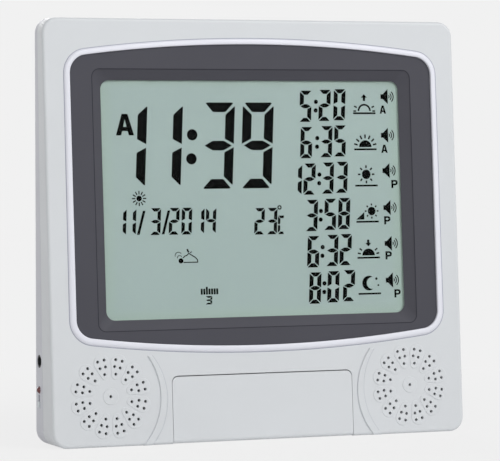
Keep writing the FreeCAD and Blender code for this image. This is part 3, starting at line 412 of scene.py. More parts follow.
def platesMesh(name, shapes, deepFront, deepBack):  # a shape is one loop, or an outer one and its holes
    bm = bmesh.new()
    for shape in shapes:
        loops = shape if isinstance(shape[0][0], (tuple, list)) else [shape]
        edges, corners = [], []
        for loop in loops:
            ring = [bm.verts.new(onFace(u, w, deepFront)) for u, w in loop]
            edges += [bm.edges.new(pair) for pair in pairs(ring)]
            corners += ring
        if len(loops) == 1:
            faces = [bm.faces.new(corners)]
        else:
            made = bmesh.ops.triangle_fill(bm, use_beauty=True, use_dissolve=False, edges=edges)
            faces = [g for g in made["geom"] if isinstance(g, bmesh.types.BMFace)]
        grown = bmesh.ops.extrude_face_region(bm, geom=faces)
        shift = onFace(0, 0, deepBack) - onFace(0, 0, deepFront)
        copies = [g for g in grown["geom"] if isinstance(g, bmesh.types.BMVert)]
        bmesh.ops.translate(bm, verts=copies, vec=shift)
    return meshFrom(bm, name)


def addPiece(name, mesh, finish, body):
    mesh.materials.clear()
    mesh.materials.append(finishes[finish])
    piece = addObject(name, mesh)
    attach(piece, body)
    return piece


def span(low, high, steps):
    return [low + (high - low) * i / (steps - 1) for i in range(steps)]


def inRadians(angles):
    return [math.radians(a) for a in angles]


def arcPoints(u, w, radius, angles):
    return [(u + radius * math.cos(a), w + radius * math.sin(a)) for a in angles]


ringLook = {
    "width": 3.3, "bow": 840.0, "corner": 11.0,  # mm; the bow is the radius of the long sides
    "spread": {1: 0.98, -1: 1.12},  # the ring's width at the top and at the bottom, as a share
    # distance outside the panel and height above it, round the ring's section
    "section": ((0.0, -2.2), (0.0, 0.75), (0.1, 0.98), (0.35, 1.13), (0.8, 1.2), (1.9, 1.2), (2.4, 1.1),
                (2.9, 0.82), (3.3, 0.42), (3.5, 0.1), (3.52, 0.02), (1.1, 0.02), (1.1, -2.2)),
    # section of a thin darker strip just outside the ring, painted shade of the crease round it
    "crease": ((3.4, 0.0), (3.4, 0.04), (3.86, 0.04), (3.86, 0.0)),
    "steps": (12, 48),  # in a corner and along a long side
    "sharp": 40,
}


def ringOutline(look, reach, offset):  # the bowed frame, that far outside the panel
    outline = []
    for side in (1, -1):
        border = offset * look["spread"][side]
        bow, corner = look["bow"] + border, look["corner"] + border
        middle = reach[side] + side * (border - bow)
        cornerX = reach[0] + border - corner
        rise = math.sqrt((bow - corner) ** 2 - cornerX ** 2)
        angle = math.atan2(rise, cornerX)
        turns = [(cornerX + corner * math.cos(a), middle + side * (rise + corner * math.sin(a)))
                 for a in span(0.0, angle, look["steps"][0])]
        bowed = [(bow * math.cos(a), middle + side * bow * math.sin(a))
                 for a in span(angle, math.pi - angle, look["steps"][1])][1:-1]
        half = turns + bowed + [(-u, w) for u, w in reversed(turns)]
        outline += half if side > 0 else half[::-1]
    return outline


def sweptMesh(name, look, reach, section):
    bm = bmesh.new()
    rings = [[bm.verts.new(onFace(u, w, -height)) for u, w in ringOutline(look, reach, offset)]
             for offset, height in section]
    for first, second in pairs(rings):
        addWall(bm, first, second)
    return meshFrom(bm, name, look["sharp"])


def makeRing(look):
    places = facePlaces("bezel_ring")
    reach = {0: max(p[0] for p in places) - look["width"], 1: max(p[1] for p in places) - look["width"],
             -1: min(p[1] for p in places) + look["width"]}
    ring = addPiece("silver_ring", sweptMesh("silver_ring", look, reach, look["section"]),
                    "ring_silver", "case")
    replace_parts(ring, "bezel_ring")
    # painted shade: a thin darker strip along the ring's outer crease
    addPiece("ring_crease", sweptMesh("ring_crease", look, reach, look["crease"]),
             "crease_shade", "case")


makeRing(ringLook)

ribLook = {
    "speaker": (96.54, 29.5),
    "outer": ((-26.2, 23.0), (-35.04, -1.2), (-23.9, -30.5)),
    "inner": ((-23.4, 23.0), (-31.14, -1.3), (-18.6, -30.5)),
    "line": (0.02, 0.55), "low": 5.0, "steps": 40, "depth": (-0.02, 0.02),
}


def circleOf(first, second, third):  # centre and radius through three points
    (ax, ay), (bx, by), (cx, cy) = first, second, third
    d = 2 * (ax * (by - cy) + bx * (cy - ay) + cx * (ay - by))
    a, b, c = ax * ax + ay * ay, bx * bx + by * by, cx * cx + cy * cy
    u = (a * (by - cy) + b * (cy - ay) + c * (ay - by)) / d
    w = (a * (cx - bx) + b * (ax - cx) + c * (bx - ax)) / d
    return u, w, math.hypot(ax - u, ay - w)


def makeRibCreaseShades(look):  # thin painted shade along both edges of each crescent
    shapes = []
    speakerX, speakerUp = look["speaker"]
    for side in (-1, 1):
        for edge, way in (("outer", 1), ("inner", -1)):
            spots = [(side * (speakerX + x), speakerUp + up) for x, up in look[edge]]
            u, w, radius = circleOf(*spots)
            start = math.atan2(spots[0][1] - w, spots[0][0] - u)
            stop = math.atan2(look["low"] - w, spots[2][0] - u)
            if abs(start - stop) > math.pi:
                stop += 2 * math.pi if stop < start else -2 * math.pi
            near, far = (radius + way * reach for reach in look["line"])
            angles = span(start, stop, look["steps"])
            shapes.append(arcPoints(u, w, far, angles) + arcPoints(u, w, near, angles[::-1]))
    addPiece("rib_creases", platesMesh("rib_creases", shapes, *look["depth"]), "rib_shade", "case")


makeRibCreaseShades(ribLook)

funnelLook = {"border": 5.1, "corner": 5.0, "line": 0.42, "steps": 9, "depth": (0.27, 0.35)}


def roundedLoop(left, right, low, high, corner, steps):
    points = []
    for u, w, start in ((right - corner, high - corner, 0), (left + corner, high - corner, 90),
                        (left + corner, low + corner, 180), (right - corner, low + corner, 270)):
        points += arcPoints(u, w, corner, inRadians(span(start, start + 90, steps)))
    return points


def makeFunnelCreaseShade(look):  # the painted shade where the panel turns down to the window
    places = facePlaces("display_panel")
    back = max(p[2] for p in places)
    foot = [p for p in places if p[2] > back - 0.05]
    across, up = [p[0] for p in foot], [p[1] for p in foot]
    grow, line, corner = look["border"], look["line"], look["corner"]
    left, right, low, high = min(across) - grow, max(across) + grow, min(up) - grow, max(up) + grow
    shape = [roundedLoop(left, right, low, high, corner, look["steps"]),
             roundedLoop(left + line, right - line, low + line, high - line, corner - line, look["steps"])]
    addPiece("funnel_crease", platesMesh("funnel_crease", [shape], *look["depth"]), "funnel_shade",
             "case")


makeFunnelCreaseShade(funnelLook)
print("ring and creases set")


slant = 0.062  # lean of the digits
litBars = {"0": "abcdef", "1": "bc", "2": "abged", "3": "abgcd", "4": "fgbc", "5": "afgcd",
           "6": "afgecd", "7": "abc", "8": "abcdefg", "9": "abcdfg"}


def barShapes(width, height, bar, cap, gap):  # the seven bars of a digit, upright
    middle = height / 2
    tip, inner, waist = 1.2 * gap, bar + 0.15 * gap, bar + 0.5 * gap
    low, high = middle - 0.5 * cap, middle + 0.5 * cap
    nick = 0.5 * gap
    shapes = {
        "a": [(tip, height - nick), (tip + 1.2 * nick, height), (width - tip - 1.2 * nick, height),
              (width - tip, height - nick), (width - inner, height - cap), (inner, height - cap)],
        "g": [(1.15 * gap, middle), (waist, high), (width - waist, high),
              (width - 1.15 * gap, middle), (width - waist, low), (waist, low)],
        "b": [(width, height - 2.4 * gap), (width, middle + 0.9 * gap),
              (width - bar, middle + 0.5 * cap + 1.05 * gap), (width - bar, height - cap - 1.45 * gap),
              (width - nick, height - 2.2 * gap)],
    }
    shapes["d"] = [(u, height - w) for u, w in reversed(shapes["a"])]
    shapes["c"] = [(u, height - w) for u, w in reversed(shapes["b"])]
    shapes["f"] = [(width - u, w) for u, w in reversed(shapes["b"])]
    shapes["e"] = [(width - u, w) for u, w in reversed(shapes["c"])]
    return shapes


def digitShapes(text, left, low, size):  # left is the digit's edge at half its height
    bars = barShapes(size["width"], size["height"], size["bar"], size["cap"], size["gap"])
    half = size["height"] / 2
    return [[(left + u + slant * (w - half), low + w) for u, w in bars[key]] for key in litBars[text]]


def discShape(u, w, radius, steps=24):
    return arcPoints(u, w, radius, [2 * math.pi * i / steps for i in range(steps)])


def halfDisc(u, w, radius):
    return arcPoints(u, w, radius, inRadians(range(0, 181, 12)))


def arcBand(u, w, inner, outer, start, stop, steps=10):
    angles = inRadians(span(start, stop, steps + 1))
    return arcPoints(u, w, outer, angles) + arcPoints(u, w, inner, angles[::-1])


def rayShapes(u, w, inner, outer, width, angles):
    rays = []
    for a in inRadians(angles):
        cos, sin, half = math.cos(a), math.sin(a), width / 2
        rays.append([(u + cos * reach - sin * side, w + sin * reach + cos * side)
                     for reach, side in ((inner, -half), (outer, -half), (outer, half), (inner, half))])
    return rays


def barShape(left, low, right, high):
    return [(left, low), (right, low), (right, high), (left, high)]


def moved(points, u, w, size=1.0, rise=None):  # a drawn loop, set in place and to size
    return [(u + x * size, w + z * (size if rise is None else rise)) for x, z in points]


def strokeShape(points, width):  # a bent line of even width, mitred
    spots = [Vector(point) for point in points]
    ways = [(after - before).normalized() for before, after in zip(spots, spots[1:])]
    left, right = [], []
    for spot, before, after in zip(spots, ways[:1] + ways, ways + ways[-1:]):
        across = Vector((-before.y - after.y, before.x + after.x))
        across *= width / 2 / across.dot(Vector((-before.y, before.x)))
        left.append(tuple(spot + across))
        right.append(tuple(spot - across))
    return left + right[::-1]


halfLetters = {  # for the two halves of the day
    "A": (((0, 0), (0.29, 0), (0.35, 0.2), (0.65, 0.2), (0.71, 0), (1, 0), (0.66, 1), (0.34, 1)),
          ((0.41, 0.4), (0.50, 0.74), (0.59, 0.4))),
    "P": (((0, 0), (0.3, 0), (0.3, 0.34), (0.62, 0.34), (0.86, 0.4), (0.97, 0.53), (1, 0.67),
           (0.97, 0.82), (0.86, 0.94), (0.62, 1), (0, 1)),
          ((0.3, 0.56), (0.3, 0.79), (0.56, 0.79), (0.67, 0.75), (0.7, 0.675), (0.67, 0.6), (0.56, 0.56))),
}


def letterShape(letter, left, low, size):
    return [moved(loop, left, low, *size) for loop in halfLetters[letter]]


def inkPiece(name, shapes):
    addPiece(name, platesMesh(name, shapes, *inkDepth), "display_ink", "case")


timeLook = {
    "digit": {"width": 20.1, "height": 51.5, "bar": 5.95, "cap": 5.75, "gap": 1.1},
    "low": 150.45,
    "digits": (("1", -88.4), ("1", -65.9), ("3", -32.6), ("9", -7.4)),
    "dots": ((-39.0, 182.7), (-39.9, 168.4)),
    "dotRadius": 3.35,
    "half": ("A", -87.1, 182.5),
    "halfSize": (11.4, 12.7),
}


def makeTime(look):
    shapes = []
    for text, left in look["digits"]:
        shapes += digitShapes(text, left, look["low"], look["digit"])
    shapes += [discShape(u, w, look["dotRadius"], 32) for u, w in look["dots"]]
    inkPiece("time_digits", shapes + [letterShape(*look["half"], look["halfSize"])])


makeTime(timeLook)

rowLook = {
    "digit": {"width": 7.8, "height": 18.9, "bar": 2.7, "cap": 2.5, "gap": 0.38},
    "rise": 0.042,  # each row climbs a little to the right
    "dotRadius": 1.35,
    "dotUps": (11.2, 6.0),
    "halfSize": (4.3, 5.0),
    "rows": (
        {"low": 191.2, "digits": (("5", 31.1), ("2", 43.7), ("0", 53.5)), "dots": 41.8,
         "half": ("A", 84.2, 195.2), "speaker": (85.1, 4.5), "sign": "dawn"},
        {"low": 169.2, "digits": (("6", 30.9), ("3", 44.1), ("5", 53.2)), "dots": 42.0,
         "half": ("A", 84.5, 171.2), "speaker": (84.6, 6.1), "sign": "sunrise"},
        {"low": 147.1, "digits": (("1", 23.4), ("2", 32.3), ("3", 44.4), ("3", 53.6)), "dots": 42.7,
         "half": ("P", 90.6, 149.6), "speaker": (84.9, 5.65), "sign": "noon"},
        {"low": 125.1, "digits": (("3", 33.1), ("5", 45.3), ("8", 54.5)), "dots": 43.0,
         "half": ("P", 85.0, 127.5), "speaker": (84.8, 6.25), "sign": "afternoon"},
        {"low": 103.2, "digits": (("6", 33.4), ("3", 45.9), ("2", 54.8)), "dots": 43.4,
         "half": ("P", 85.2, 106.1), "speaker": (84.9, 6.2), "sign": "sunset"},
        {"low": 81.3, "digits": (("8", 33.9), ("0", 45.9), ("2", 56.3)), "dots": 43.9,
         "half": ("P", 90.4, 82.8), "speaker": (84.9, 6.7), "sign": "night"},
    ),
}


def makeRows(look):
    shapes = []
    for row in look["rows"]:
        low, last = row["low"], row["digits"][-1][1]
        for text, left in row["digits"]:
            shapes += digitShapes(text, left, low + look["rise"] * (left - last), look["digit"])
        for up in look["dotUps"]:
            lean = slant * (up - look["digit"]["height"] / 2)
            shapes.append(discShape(row["dots"] + lean, low + up, look["dotRadius"], 16))
        shapes.append(letterShape(*row["half"], look["halfSize"]))
    inkPiece("row_digits", shapes)


makeRows(rowLook)

dateLook = {
    "digit": {"width": 6.6, "height": 15.9, "bar": 2.15, "cap": 2.0, "gap": 0.34},
    "low": 123.5,
    "digits": (("1", -88.7), ("1", -82.6), ("3", -67.1), ("2", -55.3), ("0", -47.3), ("1", -39.4),
               ("4", -31.9)),
    "slashes": (-72.8, -57.2),
    "slash": ((-2.9, 0.3), (-1.2, 0.3), (2.9, 14.4), (1.2, 14.4)),
    "warmth": (("2", -0.6), ("3", 7.6)),
    "warmthLow": 122.7,
    "degree": (15.95, 138.8),
    "unitLeft": 14.5,
    "unit": (  # the four bars of the C
        ((0.5, 11.2), (4.3, 11.2), (3.9, 9.6), (1.9, 9.6)),
        ((0.3, 10.7), (1.85, 9.3), (1.65, 6.5), (0.9, 5.9), (0.1, 6.4)),
        ((0.8, 5.65), (1.6, 5.0), (1.4, 2.2), (-0.2, 0.8), (0.05, 5.1)),
        ((1.4, 1.6), (3.4, 1.6), (3.8, 0.0), (0.1, 0.0)),
    ),
}


def makeDate(look):
    shapes = []
    for text, left in look["digits"]:
        shapes += digitShapes(text, left, look["low"], look["digit"])
    shapes += [moved(look["slash"], middle, look["low"]) for middle in look["slashes"]]
    for text, left in look["warmth"]:
        shapes += digitShapes(text, left, look["warmthLow"], look["digit"])
    shapes.append([discShape(*look["degree"], radius, 16) for radius in (1.4, 0.65)])
    shapes += [moved(loop, look["unitLeft"], look["warmthLow"]) for loop in look["unit"]]
    inkPiece("date_digits", shapes)


makeDate(dateLook)


def arrowShape(u, w, size, way):
    points = [(-1.0, 0.0), (-0.38, 0.0), (-0.38, -1.0), (0.38, -1.0), (0.38, 0.0), (1.0, 0.0), (0.0, 1.05)]
    return moved(points, u, w, size, size * way)


def moonShape(u, w, outer, inner, shift):
    return (arcPoints(u, w, outer, inRadians(range(54, 307, 14))) +
            arcPoints(u + shift, w, inner, inRadians(range(270, 89, -15))))


def hillShape(u, w, width, height):
    return [(u, w), (u + width, w), (u + width, w + height)]


allRound = range(0, 360, 45)
signLook = {  # where the sun stands, measured from the ground line's end
    "dawn": {"forms": ((arcBand, 7.5, 1.9, 3.3, 4.4, 0, 180, 18), (arrowShape, 7.5, 10.1, 2.0, 1)),
             "rays": (7.5, 1.9, 5.4, 7.3, 0.9, (0, 24, 156, 180))},
    "sunrise": {"forms": ((halfDisc, 7.5, 1.9, 4.2),),
                "rays": (7.5, 1.9, 5.3, 7.7, 1.0, (15, 40, 65, 90, 115, 140, 165))},
    "noon": {"forms": ((discShape, 7.5, 7.4, 2.9),), "rays": (7.5, 7.4, 3.8, 5.5, 1.0, allRound)},
    "afternoon": {"forms": ((discShape, 10.4, 7.0, 2.6), (hillShape, 0.0, 1.9, 5.4, 4.5)),
                  "rays": (10.4, 7.0, 3.4, 4.6, 0.9, allRound)},
    "sunset": {"forms": ((halfDisc, 7.5, 1.9, 4.2), (arrowShape, 7.5, 9.5, 2.0, -1)),
               "rays": (7.5, 1.9, 5.3, 7.3, 0.9, (12, 36, 144, 168))},
    "night": {"forms": ((moonShape, 7.2, 7.0, 4.5, 3.6, 2.1), (discShape, 12.2, 9.6, 0.8, 12),
                        (discShape, 13.4, 5.6, 0.6, 12)),
              "rays": (0.0, 0.0, 0.0, 0.0, 0.0, ())},
}
markLook = {
    "speaker": {
        "size": (4.8, 9.2),
        "body": ((0.0, 0.34), (0.30, 0.34), (1.0, 0.0), (1.0, 1.0), (0.30, 0.66), (0.0, 0.66)),
        "waves": ((0.95, 1.6, -44, 44), (2.3, 2.95, -46, 46), (3.7, 4.35, -48, 48))},
    "sign": {"left": 66.4, "drop": 15.2, "ground": (15.0, 1.1)},
    "sleeper": {
        "place": (-48.4, 107.95), "head": 1.55,
        "strokes": (  # cover, raised hand and its thumb
            (0.6, ((1.25, 1.65), (2.55, 2.75), (3.75, 3.15), (5.05, 4.3), (7.2, 3.05), (9.1, 1.95),
                   (10.55, 0.4), (10.6, -0.98), (1.5, -0.98))),
            (1.05, ((4.15, 6.9), (4.55, 5.7), (5.1, 4.95))),
            (0.55, ((5.75, 4.7), (7.1, 5.3)))),
        "sounds": ((-0.8, 1.75, 1.2, 1.6, 20, 190), (-1.5, 3.0, 1.95, 2.35, 35, 190))},
    "week": {
        "left": -36.4, "low": 87.6, "pitch": 1.65, "width": 1.25, "height": 3.5, "today": 2,
        "todayHeight": 4.6, "numberPlace": (3.0, -5.9),
        "number": {"width": 4.2, "height": 5.0, "bar": 1.3, "cap": 1.05, "gap": 0.14}},
    "sun": {"place": (-73.7, 145.2), "radius": 1.7, "rays": (2.4, 4.5, 0.7)},
}


def speakerMark(left, middle, look):
    width, height = look["size"]
    waves = [arcBand(left + width - 0.3, middle, *wave) for wave in look["waves"]]
    return [moved(look["body"], left, middle - height / 2, width, height)] + waves


def signShapes(look, left, low, ground):
    x, up, *rest = look["rays"]
    shapes = [barShape(left, low, left + ground[0], low + ground[1])]
    shapes += [draw(left + u, low + w, *sizes) for draw, u, w, *sizes in look["forms"]]
    return shapes + rayShapes(left + x, low + up, *rest)


def sleeperShapes(look):  # a head with two sound arcs, under a cover
    u, w = look["place"]
    shapes = [discShape(u, w, look["head"])]
    shapes += [strokeShape(moved(points, u, w), width) for width, points in look["strokes"]]
    return shapes + [arcBand(u + x, w + z, *band) for x, z, *band in look["sounds"]]


def weekShapes(look):  # one bar for each day, and the number of the day below
    shapes = []
    for day in range(7):
        left = look["left"] + day * look["pitch"]
        rise = look["todayHeight"] if day == look["today"] else look["height"]
        shapes.append(barShape(left, look["low"], left + look["width"], look["low"] + rise))
    x, up = look["numberPlace"]
    return shapes + digitShapes(str(look["today"] + 1), look["left"] + x, look["low"] + up, look["number"])


def makeMarks(look):
    shapes = []
    for row in rowLook["rows"]:
        top = row["low"] + rowLook["digit"]["height"]
        left, drop = row["speaker"]
        shapes += speakerMark(left, top - drop, look["speaker"])
        shapes += signShapes(signLook[row["sign"]], look["sign"]["left"], top - look["sign"]["drop"],
                             look["sign"]["ground"])
    shapes += sleeperShapes(look["sleeper"]) + weekShapes(look["week"])
    sun = look["sun"]
    shapes += [discShape(*sun["place"], sun["radius"])]
    inkPiece("display_marks", shapes + rayShapes(*sun["place"], *sun["rays"], range(0, 360, 30)))


makeMarks(markLook)
print("display drawn")


keyNames = ("mode", "set", "alarm", "light", "city", "down", "up", "enter")
innerLook = {
    "holder_plastic": {
        "parts": ("display_holder",), "colour": tone(222, 222, 215), "rough": 0.5, "grain": 900.0,
        "spread": 0.02},
    "backlight_plastic": {
        "parts": ("backlight_panel",), "colour": tone(232, 236, 233), "rough": 0.28, "grain": 2200.0,
        "spread": 0.01, "coat": 0.3},
    "key_rubber": {
        "parts": ("button_mat",), "colour": tone(128, 130, 133), "rough": 0.72, "grain": 2600.0,
        "spread": 0.04, "relief": 0.3},
    "chip_resin": {
        "parts": ("main_chips",), "colour": tone(32, 33, 35), "rough": 0.55, "grain": 3200.0,
        "spread": 0.05, "relief": 0.3},
    "jack_plastic": {
        "parts": ("dc_jack",), "colour": tone(38, 40, 42), "rough": 0.4, "grain": 1800.0, "spread": 0.04},
    "knob_plastic": {
        "parts": ("slide_knob",), "colour": tone(208, 214, 216), "rough": 0.42, "grain": 1700.0,
        "spread": 0.02},
    "key_plastic": {
        "parts": [name + "_button" for name in keyNames], "colour": tone(196, 200, 204), "rough": 0.4,
        "grain": 1700.0, "spread": 0.02, "coat": 0.1},
    "magnet_ferrite": {
        "parts": ("left_speaker_magnet", "right_speaker_magnet"), "colour": tone(62, 62, 66),
        "rough": 0.62, "grain": 1500.0, "spread": 0.1, "relief": 0.4},
    "gasket_foam": {
        "parts": ("speaker_gaskets",), "colour": tone(58, 58, 60), "rough": 0.92, "grain": 2400.0,
        "spread": 0.14, "relief": 0.9, "deep": 0.0003},
    "cable_jacket": {
        "parts": ("button_cable",), "colour": tone(176, 178, 182), "rough": 0.5, "grain": 2200.0,
        "spread": 0.05},
}
dress(moulded, innerLook)

metalLook = {
    "basket_steel": {
        "parts": ("left_speaker_frame", "right_speaker_frame"), "colour": tone(150, 151, 154),
        "rough": 0.4, "lines": 700.0},
    "can_aluminium": {
        "parts": ("board_capacitors", "clock_crystal"), "colour": tone(205, 206, 208), "rough": 0.26,
        "lines": 1500.0},
    "zinc_screw": {
        "parts": ("flap_pins",), "colour": tone(176, 178, 182), "rough": 0.3, "lines": 1800.0,
        "spread": 0.1},
    "contact_nickel": {
        "parts": ("battery_plates", "jack_pin"), "colour": tone(208, 204, 196), "rough": 0.25,
        "lines": 1600.0},
    "switch_shell": {
        "parts": ("slide_switch",), "colour": tone(222, 225, 228), "rough": 0.45, "lines": 1300.0,
        "metal": 0.25},
}
dress(metal, metalLook)


def overlay(material, makeMask, second):  # a second colour where the mask is 1
    tree = material.node_tree
    colour = tree.nodes["Principled BSDF"].inputs["Base Color"]
    base = colour.links[0].from_socket
    mask = makeMask(tree, separate(tree, objectPlace(tree)))
    tree.links.new(addMix(tree, mask, base, second), colour)
    return material


def addWave(tree, value, pitch):
    return addMath(tree, "SINE", addMath(tree, "MULTIPLY", value, 2 * math.pi / pitch))


def striped(name, look):  # stripes across one axis, on a moulded base
    def stripes(tree, parts):
        wave = addWave(tree, parts[look["axis"]], look["pitch"])
        return addRange(tree, wave, -look["soft"], look["soft"], 0.0, 1.0)
    return overlay(moulded(name, look), stripes, look["second"])


zebraLook = {
    "contact_rubber": {
        "parts": ("contact_strips",), "colour": tone(196, 128, 140), "rough": 0.6, "grain": 1800.0,
        "spread": 0.04, "axis": 0, "pitch": 0.0008, "soft": 0.15, "second": tone(48, 46, 50)},
}
dress(striped, zebraLook)

coneLook = {
    "cone_paper": {
        "parts": ("left_speaker_cone", "right_speaker_cone"), "dark": tone(46, 45, 45),
        "light": tone(64, 62, 60), "fibre": 1900.0, "tuft": 260.0, "rough": (0.82, 0.96),
        "relief": (0.7, 0.00015)},
}


def paperCone(name, look):
    material, tree, shader = newMaterial(name)
    place = objectPlace(tree)
    clouded(tree, shader, addNoise(tree, place, look["tuft"], 3.0), look["dark"], look["light"])
    fibre = addNoise(tree, place, look["fibre"], 6.0, 0.7)
    roughened(tree, shader, fibre, *look["rough"])
    addBump(tree, shader, fibre, *look["relief"])
    return material


dress(paperCone, coneLook)

boardLook = {
    "board_green": {
        "parts": ("main_board", "control_board", "side_board", "speaker_terminals"),
        "mask": tone(38, 96, 62), "trace": tone(64, 128, 84), "pad": tone(200, 184, 130), "pitch": 0.0054,
        "traceEdge": (0.05, 0.07), "padEdge": (0.10, 0.12), "padScale": 0.55, "weave": 1500.0,
        "rough": (0.28, 0.4), "padShine": 0.85, "relief": (0.3, 0.00006)},
}


def addCells(tree, place, scale):
    cells = tree.nodes.new("ShaderNodeTexVoronoi")
    cells.inputs["Scale"].default_value = scale
    tree.links.new(place, cells.inputs["Vector"])
    return cells


def circuitBoard(name, look):
    material, tree, shader = newMaterial(name)
    place = objectPlace(tree)
    cells = addCells(tree, place, 1.0 / look["pitch"])
    cells.distance = "CHEBYCHEV"
    cells.feature = "DISTANCE_TO_EDGE"
    trace = addRange(tree, cells.outputs["Distance"], *look["traceEdge"], 1.0, 0.0)
    dots = addCells(tree, place, look["padScale"] / look["pitch"])
    pad = addRange(tree, dots.outputs["Distance"], *look["padEdge"], 1.0, 0.0)
    base = addMix(tree, trace, look["mask"], look["trace"])
    tree.links.new(addMix(tree, pad, base, look["pad"]), shader.inputs["Base Color"])
    roughened(tree, shader, addNoise(tree, place, look["weave"], 2.0), *look["rough"])
    tree.links.new(addMath(tree, "MULTIPLY", pad, look["padShine"]), shader.inputs["Metallic"])
    addBump(tree, shader, addMath(tree, "ADD", trace, pad), *look["relief"])
    return material


dress(circuitBoard, boardLook)

wireJacket = {"rough": 0.42, "grain": 2600.0, "spread": 0.05, "coat": 0.2}
wireLook = {
    "speaker_wire": {
        "parts": ("speaker_leads",), "colour": tone(176, 44, 38), "second": tone(214, 214, 210),
        "axis": 0, "middle": 0.0},
    "power_wire": {
        "parts": ("power_leads", "battery_leads"), "colour": tone(34, 34, 36),
        "second": tone(176, 44, 38), "axis": 2, "middle": 0.05},
    "lamp_wire": {
        "parts": ("lamp_leads",), "colour": tone(196, 196, 190), "second": tone(190, 190, 186),
        "axis": 2, "middle": 0.05},
}


def pairedWires(name, look):  # two jacket colours, split at a place
    def beyond(tree, parts):
        return addMath(tree, "GREATER_THAN", parts[look["axis"]], look["middle"])
    return overlay(moulded(name, {**wireJacket, **look}), beyond, look["second"])


dress(pairedWires, wireLook)

lampLook = {
    "lamp_red": {
        "parts": ("power_lamp",), "dark": shaded(tone(112, 52, 52), 0.85),
        "light": shaded(tone(112, 52, 52), 1.15), "cloud": 700.0, "rough": 0.2, "refraction": 1.5,
        "clear": 0.2, "coat": 0.2},
}


def lampLens(name, look):
    material, tree, shader = newMaterial(name)
    clouded(tree, shader, addNoise(tree, objectPlace(tree), look["cloud"], 2.0), look["dark"], look["light"])
    setInputs(shader, {"Roughness": look["rough"], "IOR": look["refraction"],
                       "Transmission Weight": look["clear"], "Coat Weight": look["coat"]})
    return material


dress(lampLens, lampLook)

cellLook = {
    "cell_wrap": {
        "parts": ("batteries",), "jacket": tone(52, 92, 112), "band": tone(206, 208, 210),
        "bandPitch": 0.0505, "bandEdge": (0.90, 0.92), "bandShine": 0.8, "scuff": 420.0,
        "scuffEdge": (0.35, 0.65), "spread": 0.06, "rough": (0.24, 0.4), "relief": (0.1, 0.00004)},
}


def cellJacket(name, look):
    material, tree, shader = newMaterial(name)
    place = objectPlace(tree)
    bands = addWave(tree, separate(tree, place)[0], look["bandPitch"])
    mask = addRange(tree, bands, *look["bandEdge"], 0.0, 1.0)
    scuff = addNoise(tree, place, look["scuff"], 5.0, 0.7)
    base = addMix(tree, addRange(tree, scuff, *look["scuffEdge"], 0.0, 1.0),
                  shaded(look["jacket"], 1 - look["spread"]), shaded(look["jacket"], 1 + look["spread"]))
    tree.links.new(addMix(tree, mask, base, look["band"]), shader.inputs["Base Color"])
    roughened(tree, shader, scuff, *look["rough"])
    tree.links.new(addMath(tree, "MULTIPLY", mask, look["bandShine"]), shader.inputs["Metallic"])
    addBump(tree, shader, scuff, *look["relief"])
    return material


dress(cellJacket, cellLook)
print("inner parts finished")


def looseSolids(name):  # the points of each loose solid of a node
    bm = bmesh.new()
    bm.from_mesh(nodes[name].data)
    bmesh.ops.remove_doubles(bm, verts=bm.verts, dist=0.000002)
    left = set(bm.verts)
    islands = []
    for start in bm.verts:  # in the node's own order, so each run is the same
        if start not in left:
            continue
        left.remove(start)
        stack, group = [start], []
        while stack:
            vert = stack.pop()
            group.append(vert.co.copy())
            for edge in vert.link_edges:
                other = edge.other_vert(vert)
                if other in left:
                    left.remove(other)
                    stack.append(other)
        islands.append(group)
    bm.free()
    return islands


def screwForm(group):  # sizes and head side of one screw along Y
    lows = [min(p[i] for p in group) for i in range(3)]
    highs = [max(p[i] for p in group) for i in range(3)]
    centre = ((lows[0] + highs[0]) / 2, (lows[2] + highs[2]) / 2)
    radius = (highs[0] - lows[0]) / 2
    length = highs[1] - lows[1]
    tenth = 0.1 * length

    def away(point):
        return math.hypot(point[0] - centre[0], point[2] - centre[1])
    near = max((away(p) for p in group if p[1] < lows[1] + tenth), default=0.0)
    far = max((away(p) for p in group if p[1] > highs[1] - tenth), default=0.0)
    bearing = [p[1] for p in group if away(p) > 0.8 * radius]  # points of the head, wider than the shank
    return {"centre": centre, "crown": highs[1] if far > near else lows[1], "side": 1 if far > near else -1,
            "radius": radius, "shank": min(near, far), "head": max(bearing) - min(bearing),
            "length": length}


faceTurn = Matrix.Rotation(-face["lean"], 4, "X")  # screws that stand square to the sloping face
screwLook = {
    "screws": {
        "case_screws": {"axis": Matrix.Identity(4), "cross": 0.56, "threads": 9},
        "board_screws": {"axis": faceTurn, "cross": 0.54, "threads": 5},
        "holder_screws": {"axis": faceTurn, "cross": 0.54, "threads": 6},
        "speaker_screws": {"axis": faceTurn, "cross": 0.54, "threads": 3},
        "control_screws": {"axis": faceTurn, "cross": 0.54, "threads": 4},
    },
    "head": ((0.74, 0.0), (0.88, -0.07), (0.97, -0.24), (1.0, -0.42), (1.0, -0.86), (0.96, -1.0)),
    "thread": ((0.8, 0.0), (1.0, 0.4), (1.0, 0.52), (0.8, 0.9)),  # share of the shank, share of a turn
    "lead": (0.4, 1.5),  # turns before the first thread, and in all without one
    "tip": (0.3, 0.985),  # share of the shank, share of the length
    "arm": 0.11,  # half width of the cross, as a share of the head's radius
    "floor": (0.62, 0.62, 0.8),  # of the cross: share across, depth as a share of the head, share upwards
    "steps": 20,
    "sharp": 32,
    "spin": math.pi,
    "seed": 5,
}


